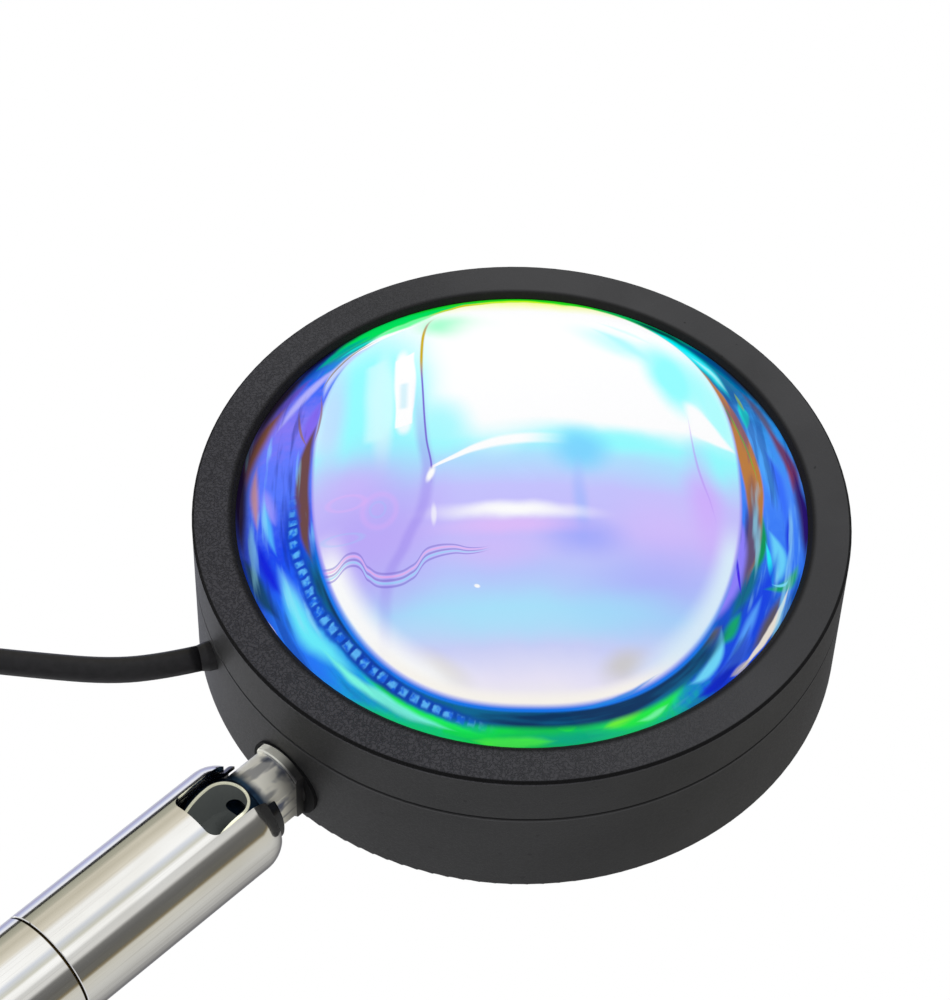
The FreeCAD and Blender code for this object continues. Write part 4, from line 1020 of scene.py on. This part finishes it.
def pane(flat, corners, soft):
    """1 inside a four-sided pane, whose corners go round against the clock, and 0 outside."""
    shown = 1.0
    for (ax, ay), (bx, by) in zip(corners, corners[1:] + corners[:1]):
        side = math.dist((ax, ay), (bx, by))
        inwards = ((ay - by) / side, (bx - ax) / side, 0)
        edge = ax * inwards[0] + ay * inwards[1]
        ahead = flat.vector("DOT_PRODUCT", flat, inwards).out("Value")
        shown = fade(ahead, edge - soft, edge + soft) * shown
    return shown


def blot(across, along, middle, radii, tilt, edge):
    """1 in the middle of a tilted ellipse and 0 outside it."""
    cosine, sine = math.cos(math.radians(tilt)), math.sin(math.radians(tilt))
    right = across - middle[0]
    up = along - middle[1]
    reach = span((right * cosine + up * sine) / radii[0], (up * cosine - right * sine) / radii[1])
    return until(reach, 1 - edge, 1 + edge * 0.5)


def oval_ground(spot):
    across, along = spot.soft_across, spot.soft_along
    colour = colour_ramp(along, OVAL_STOPS)
    for tone, right, up, wide, tall, tilt, edge, strength in OVAL_BLOTS:
        shape = blot(across, along, (right, up), (wide, tall), tilt, edge)
        colour = blend_colour(shape * strength, colour, tone)
    for _, tone, corners, soft, strength in PANES:
        colour = blend_colour(pane(spot.flat, corners, soft) * strength, colour, tone)
    return colour


print(len(OVAL_BLOTS), "blots and", len(PANES), "panes in the oval")

# %% [markdown]
# ### Lines on the oval
#
# Three thin things make the glass believable: a bright arc, a painted reflection where the window
# frame bends, one long crease with a coloured edge, and wavy ripples that run together at the
# lower left. Each is a line whose height or side follows a float curve, and the line is drawn
# where the distance to that curve is small. Two small glints and four loops lie among them.

# %% Lines
ARC_POINTS = ((-12.4, 0.4), (-9.5, 1.9), (-6.0, 3.6), (-1.5, 4.8), (4.8, 5.1))
CREASE_POINTS = ((-22, -17.6), (-17, -17.4), (-11, -15.0), (-1, -12.2), (6, -12.9), (14, -13.3),
                 (24, -13.5), (30, -13.0), (33, -11.6))
WAVE_POINTS = ((-27, -13.2), (-25.4, -14.2), (-22.6, -12.4), (-20.4, -14.8), (-17.4, -16.2),
               (-14.6, -15.4), (-12.4, -13.0), (-9.6, -12.6), (-7.0, -13.0), (-4.4, -12.6))
GLINT_TILT_DEG = -20
GLINTS = (
    # across, along, radius across, radius along, edge
    (-12.3, -0.6, 0.5, 1.4, 0.6),
    (-6.3, -18.0, 0.42, 0.26, 0.4),
)
RIPPLES = (
    # millimetres off the wave, colour
    (-0.9, (126, 106, 214)), (-0.4, (150, 220, 255)), (0.0, (120, 104, 206)),
    (0.5, (246, 176, 236)), (0.95, (132, 112, 214)),
)
LOOPS = (
    # across, along, radius across, radius along, colour
    (-19.0, -5.6, 2.2, 2.6, (228, 176, 250)), (-19.2, -5.4, 1.0, 1.2, (150, 196, 252)),
    (-23.4, -3.6, 2.4, 1.2, (236, 180, 248)), (-23.8, -9.2, 2.6, 0.8, (150, 206, 252)),
)


def bend(value, low, high, out_low, out_high, points):
    """A free curve through (x, y) points in millimetres."""
    bends = [((x - low) / (high - low), (y - out_low) / (out_high - out_low)) for x, y in points]
    curve = value.make("FloatCurve", {"bends": bends}, {"Value": part_way(value, low, high)})
    return curve * (out_high - out_low) + out_low


def between(value, low, high, soft):
    return fade(value, low - soft, low + soft) * until(value, high - soft, high + soft)


def arc_and_crease(colour, across, along):
    arc = bend(across, -14, 6, -2, 8, ARC_POINTS)
    thick = fade(across, -13.0, -2.0) * 0.7 + 0.25
    length = fade(across, -12.8, -12.0) * until(across, -1.0, 6.5)
    colour = blend_colour(until(abs(along - arc) / thick, 0.5, 1.3) * length, colour, WHITE)
    beside = across - bend(along, -24, 34, -20, -8, CREASE_POINTS)
    halo = near(beside + 0.5, 0.2, 1.3) * between(along, -20.0, 12.0, 8.0)
    colour = blend_colour(halo * 0.5, colour, (160, 140, 240))
    violet = near(beside, 0.05, 0.2) * between(along, -1.0, 31.5, 1.5)
    colour = blend_colour(violet, colour, (126, 110, 216))
    gold = near(beside, 0.08, 0.3) * between(along, 20.0, 31.0, 3.0)
    colour = blend_colour(gold, colour, (206, 178, 20))
    for right, up, wide, tall, edge in GLINTS:
        glint = blot(across, along, (right, up), (wide, tall), GLINT_TILT_DEG, edge)
        colour = blend_colour(glint, colour, WHITE)
    return colour


def ripples_and_loops(colour, across, along):
    wave = bend(across, -28, -3, -17, -11, WAVE_POINTS)
    shown = between(across, -26.8, -5.5, 1.2)
    narrowing = 1 - fade(across, -14.0, -4.0) * 0.7
    for offset, tone in RIPPLES:
        line = near((along - wave) / narrowing - offset, 0.08, 0.24)
        colour = blend_colour(line * shown * 0.6, colour, tone)
    for right, up, wide, tall, tone in LOOPS:
        loop = span((across - right) / wide, (along - up) / tall) - 1
        colour = blend_colour(near(loop, 0.02, 0.3) * 0.28, colour, tone)
    return colour


print(len(RIPPLES), "ripples,", len(LOOPS), "loops and", len(GLINTS), "glints")

# %% [markdown]
# ### Putting the glass together
#
# The oval's edge gets its lights: three crescents, cream along the foot and white and ice blue
# at the sides, and a thin violet or azure line. About half of the colour is given as glow and the
# rest as paint, because a lens full of window light hardly darkens in shade. The shares are set
# so that each colour shows as it is written.

# %% The dome's finish
GLOW = 0.6
PAINT_SHARE = 0.42
CRESCENTS = (
    # middle in degrees, reach in degrees, where it starts in the oval, softness, colour
    (-132, 34, 0.85, 0.11, (254, 255, 255)),
    (-38, 30, 0.87, 0.1, (220, 240, 255)),
    (-92, 46, 0.93, 0.05, (255, 251, 243)),
)


def oval_colours(spot):
    colour = oval_ground(spot)
    for middle, reach, start, soft, tone in CRESCENTS:
        length = until(spot.turned_from(middle), reach * 0.5, reach)
        shape = length * fade(spot.oval, start, start + soft) * until(spot.oval, 0.975, 0.99)
        colour = blend_colour(shape, colour, tone)
    colour = arc_and_crease(colour, spot.across, spot.along)
    colour = ripples_and_loops(colour, spot.across, spot.along)
    edge_tone = blend_colour(fade(spot.along, -20.0, 0.0), (20, 110, 240), (150, 130, 240))
    edge = fade(spot.oval, 0.98, 0.998) * until(spot.along, 10.0, 24.0)
    return blend_colour(edge * 0.7, colour, edge_tone)


def glass_dome():
    material, place = start_finish("coated_glass")
    spot = Spot(place)
    in_belt = fade(spot.oval, 0.992, 1.004)
    colour = blend_colour(in_belt, oval_colours(spot), belt_colours(spot))
    colour = lay_streaks(colour, spot.flat, EDGE_STREAKS)
    colour = ribs(colour, spot)
    body = colour.make("VectorMath", {"operation": "SCALE"}, {0: colour, "Scale": PAINT_SHARE})
    print("the glass takes", len(material.node_tree.nodes), "nodes")
    return lay_finish(material, Base_Color=body, Emission_Color=colour, Emission_Strength=GLOW,
                      Roughness=0.12, Specular_IOR_Level=0.0, Coat_Weight=0.22,
                      Coat_Roughness=0.02)


dress(glass_dome(), "dome_lens")

# %% [markdown]
# ## What lies behind the glass
#
# These pieces are inside the closed head, the stem or the base, or at the lead's far end. They
# still get true finishes, since a lamp that is taken apart shows them: moulded plastic with a
# slight cloud, brushed steel with fine streaks, and turned brass.

# %% Hidden finishes
BRUSHED = {"metal": 1.0, "per_mm": 3.0, "stretch": (1, 1, 0.1)}
TURNED = {"metal": 1.0, "per_mm": 2.0, "stretch": (0.1, 0.1, 3)}
DRAWN = {"metal": 1.0, "per_mm": 3.0, "stretch": (0.1, 1, 1)}
CAST = {"metal": 1.0, "per_mm": 1.2}
HIDDEN = (
    # finish, dark tone, light tone, roughness, what else, pieces
    ("filter_coating", (70, 120, 255), (120, 220, 255), 0.05, {}, ("dichroic_filter",)),
    ("ring_plastic", (18, 20, 30), (30, 34, 48), 0.2, {}, ("retaining_ring",)),
    ("white_chamber", (232, 232, 230), (244, 244, 242), 0.3, {}, ("light_chamber",)),
    ("board_lacquer", (232, 232, 226), (242, 242, 238), 0.3, {}, ("led_board",)),
    ("phosphor", (240, 196, 60), (250, 214, 84), 0.3, {}, ("led_emitter",)),
    ("brushed_steel", (150, 150, 154), (196, 196, 200), 0.25, BRUSHED, (
        "board_screws", "disc_springs", "spindle_clip", "base_bolt", "base_washer",
        "turn_stop_pin", "stem_insert")),
    ("turned_brass", (186, 148, 74), (222, 186, 108), 0.2, TURNED, (
        "swivel_plug", "tube_bushing", "plug_contacts")),
    ("white_nylon", (224, 223, 216), (236, 235, 230), 0.35, {}, (
        "spindle_washer", "cable_stop", "plug_tongue")),
    ("cast_iron", (66, 66, 68), (88, 88, 90), 0.55, CAST, ("base_weight",)),
    ("plug_steel", (176, 176, 180), (214, 214, 218), 0.18, DRAWN, ("plug_shell",)),
)


def plain_finish(name, dark, light, shine, metal=0.0, per_mm=0.8, stretch=(1, 1, 1)):
    material, place = start_finish(name)
    grain = speckle(place, per_mm, detail=3.0, stretch=stretch)
    tone = blend_colour(fade(grain, 0.3, 0.7), dark, light)
    return lay_finish(material, Base_Color=tone, Metallic=metal, Roughness=grain * 0.12 + shine,
                      Normal=bumped(grain, 0.01, 0.3))


for name, dark, light, shine, more, pieces in HIDDEN:
    dress(plain_finish(name, dark, light, shine, **more), *pieces)

# %% [markdown]
# ## The lead
#
# The lead leaves the head through a moulded sleeve, droops past the stem and comes down to the
# table beside the base, where the length that the picture doesn't show is wound up. A soft lead
# has no straight runs and no corners, so its middle is one smooth spline over a few chosen
# points, and the coil adds its own points turn by turn.

# %% The lead's route
LEAD_D = 3.5
LEAD_R = LEAD_D / 2
EXIT_TURN = math.radians(24)
SLEEVE_TURN = math.radians(29)
EXIT = Vector((-HEAD_R * math.sin(EXIT_TURN), -6.0, HEAD_Z - HEAD_R * math.cos(EXIT_TURN)))
SLEEVE_WAY = Vector((-math.sin(SLEEVE_TURN), 0, -math.cos(SLEEVE_TURN)))
SLEEVE_END = EXIT + SLEEVE_WAY * 1.8
FALL = (
    (-25.3, -6.2, 184.3), (-32.8, -6.5, 177.8), (-44.0, -6.7, 168.9), (-52.6, -7.1, 157.2),
    (-58.6, -7.9, 142.5), (-62.0, -9.1, 121.0), (-62.8, -10.7, 94.0), (-61.5, -12.5, 66.0),
    (-60.2, -14.0, 44.0), (-61.5, -14.9, 29.5), (-68.2, -15.4, 19.4),
)
TAIL = ((-114.5, 34.5, 2.0), (-106.0, 44.5, 2.6), (-96.0, 48.0, 3.82), (-88.0, 48.0, 3.82))
COIL_MIDDLE = (-93.0, 10.0)
COIL_MEAN_R = 21.0
COIL_LAYERS = (2.25, 2.25, 2.25, 2.5)
PITCH = 4.1
FLOOR_GAP = 0.02
STEP_DOWN_TURNS = 0.5
POINTS_PER_TURN = 16


def coil_point(turn):
    """A place on the coil after so many turns, from the top layer down."""
    radius = COIL_MEAN_R + COIL_LAYERS[0] * PITCH / 2
    done, way, layer = 0.0, -1, 0.0
    for turns in COIL_LAYERS[:-1]:
        if turn <= done + turns:
            break
        radius += way * turns * PITCH
        done += turns
        way = -way
    radius += way * (turn - done) * PITCH
    change = 0.0
    for turns in COIL_LAYERS[:-1]:
        change += turns
        layer += min(max((turn - change) / STEP_DOWN_TURNS + 0.5, 0.0), 1.0)
    height = LEAD_R + FLOOR_GAP + (len(COIL_LAYERS) - 1 - layer) * PITCH
    angle = -math.pi / 2 - 2 * math.pi * turn
    spread = radius / math.cos(math.pi / POINTS_PER_TURN)
    return Vector((COIL_MIDDLE[0] + spread * math.cos(angle),
                   COIL_MIDDLE[1] + spread * math.sin(angle), height))


def lead_points():
    steps = int(sum(COIL_LAYERS) * POINTS_PER_TURN)
    coil = [coil_point(step / POINTS_PER_TURN) for step in range(steps + 1)]
    points = [SLEEVE_END, SLEEVE_END + SLEEVE_WAY * 4.9] + [Vector(p) for p in FALL]
    points += [coil[0] + Vector((ahead, 0, 0)) for ahead in (14.3, 3.5)] + coil
    points += [coil[-1] + Vector((0, on, 0)) for on in (3.5, 12.5)] + [Vector(p) for p in TAIL]
    return [p * MM for p in points]


print("route over", len(lead_points()), "points,", sum(COIL_LAYERS), "turns in the coil")

# %% [markdown]
# The spline is drawn as a curve, read off as points and taken away again. Points that crowd
# together would pinch the skin, so they are thinned to a least step.

# %% The lead's middle line
LEAST_STEP = 1.0 * MM


def smooth_line(points):
    """Points along one smooth spline over a route's control points."""
    curve = bpy.data.curves.new("lead_line", "CURVE")
    curve.dimensions = "3D"
    curve.resolution_u = 6
    spline = curve.splines.new("NURBS")
    spline.points.add(len(points) - 1)
    for control, point in zip(spline.points, points):
        control.co = (*point, 1.0)
    spline.order_u = 3
    spline.use_endpoint_u = True
    holder = put("lead_line", curve)
    bpy.context.view_layer.update()
    mesh = bpy.data.meshes.new_from_object(holder)
    line = [v.co.copy() for v in mesh.vertices]
    bpy.data.objects.remove(holder)
    bpy.data.meshes.remove(mesh)
    return line


def thinned(line, least):
    """The same line without points that sit closer together than a small step."""
    kept = [line[0]]
    for point in line[1:-1]:
        if (point - kept[-1]).length > least and (point - line[-1]).length > least:
            kept.append(point)
    return kept + [line[-1]]


lead_line = thinned(smooth_line(lead_points()), LEAST_STEP)
lead_length = sum((b - a).length for a, b in zip(lead_line, lead_line[1:]))
print("lead", round(lead_length, 3), "m in", len(lead_line), "steps")

# %% [markdown]
# A tube is skinned round that line, ring by ring. Each ring is the last one turned by the least
# that keeps it square to the line, so the skin never twists, even through nine turns of coil.

# %% The lead's skin
LEAD_SIDES = 16


def tube(name, line, radius, sides, material):
    side = (line[1] - line[0]).normalized().orthogonal().normalized()
    corners, faces = [], []
    for index, point in enumerate(line):
        before = line[max(index - 1, 0)]
        after = line[min(index + 1, len(line) - 1)]
        along = (after - before).normalized()
        side = (side - along * side.dot(along)).normalized()
        other = along.cross(side)
        for k in range(sides):
            angle = 2 * math.pi * k / sides
            corners.append(point + (side * math.cos(angle) + other * math.sin(angle)) * radius)
    for start in range(0, len(corners) - sides, sides):
        for k in range(sides):
            a, b = start + k, start + (k + 1) % sides
            faces.append((a, b, b + sides, a + sides))
    faces.append(tuple(reversed(range(sides))))
    faces.append(tuple(range(len(corners) - sides, len(corners))))
    thing = add_mesh(name, corners, faces, material)
    thing.data.polygons.foreach_set("use_smooth", [len(face) == 4 for face in faces])
    thing.data.update()
    return thing


lead = tube("lead", lead_line, LEAD_R * MM, LEAD_SIDES, vinyl)
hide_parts("cable_run", "cable_coil", "cable_tail")
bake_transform(lead)
print("skin of", len(lead.data.polygons), "faces")

# %% [markdown]
# ## The tie round the coil
#
# A put-away coil is held by a tie. It is one flat band bent round the bundle, so it is modelled
# as that: a rounded rectangle in the plane that cuts the bundle, with a width and a thickness.

# %% The coil's tie
TIE_WIDTH = 5.0
TIE_THICK = 0.5
TIE_CORNER = 3.0
CORNER_STEPS = 6


def tie_outline():
    """The inside of the band: places from the coil's axis and up, each with its way outwards."""
    inner = COIL_MEAN_R - COIL_LAYERS[0] * PITCH / 2 - LEAD_R
    outer = COIL_MEAN_R + COIL_LAYERS[-1] * PITCH / 2 + LEAD_R
    top = LEAD_D + (len(COIL_LAYERS) - 1) * PITCH + 0.3
    middle = ((inner + outer) / 2, top / 2)
    half = ((outer - inner) / 2 + 0.4, top / 2)
    outline = []
    for corner, (sx, sz) in enumerate(((1, 1), (-1, 1), (-1, -1), (1, -1))):
        for step in range(CORNER_STEPS + 1):
            angle = math.pi / 2 * (corner + step / CORNER_STEPS)
            out, up = math.cos(angle), math.sin(angle)
            outline.append((middle[0] + sx * (half[0] - TIE_CORNER) + TIE_CORNER * out,
                            middle[1] + sz * (half[1] - TIE_CORNER) + TIE_CORNER * up, out, up))
    return outline


def coil_tie():
    outline = tie_outline()
    corners, faces = [], []
    for side, thick in ((-1, 0), (1, 0), (1, TIE_THICK), (-1, TIE_THICK)):
        for reach, height, out, up in outline:
            corners.append(Vector((COIL_MIDDLE[0] - reach - out * thick,
                                   COIL_MIDDLE[1] + side * TIE_WIDTH / 2,
                                   max(height + up * thick, 0.01))) * MM)
    count = len(outline)
    for strip in range(4):
        here, there = strip * count, (strip + 1) % 4 * count
        for k in range(count):
            after = (k + 1) % count
            faces.append((here + k, here + after, there + after, there + k))
    return add_mesh("coil_tie", corners, faces, rubber)


tie = coil_tie()
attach(tie, "swivel")
print("tie of", len(tie.data.polygons), "faces")
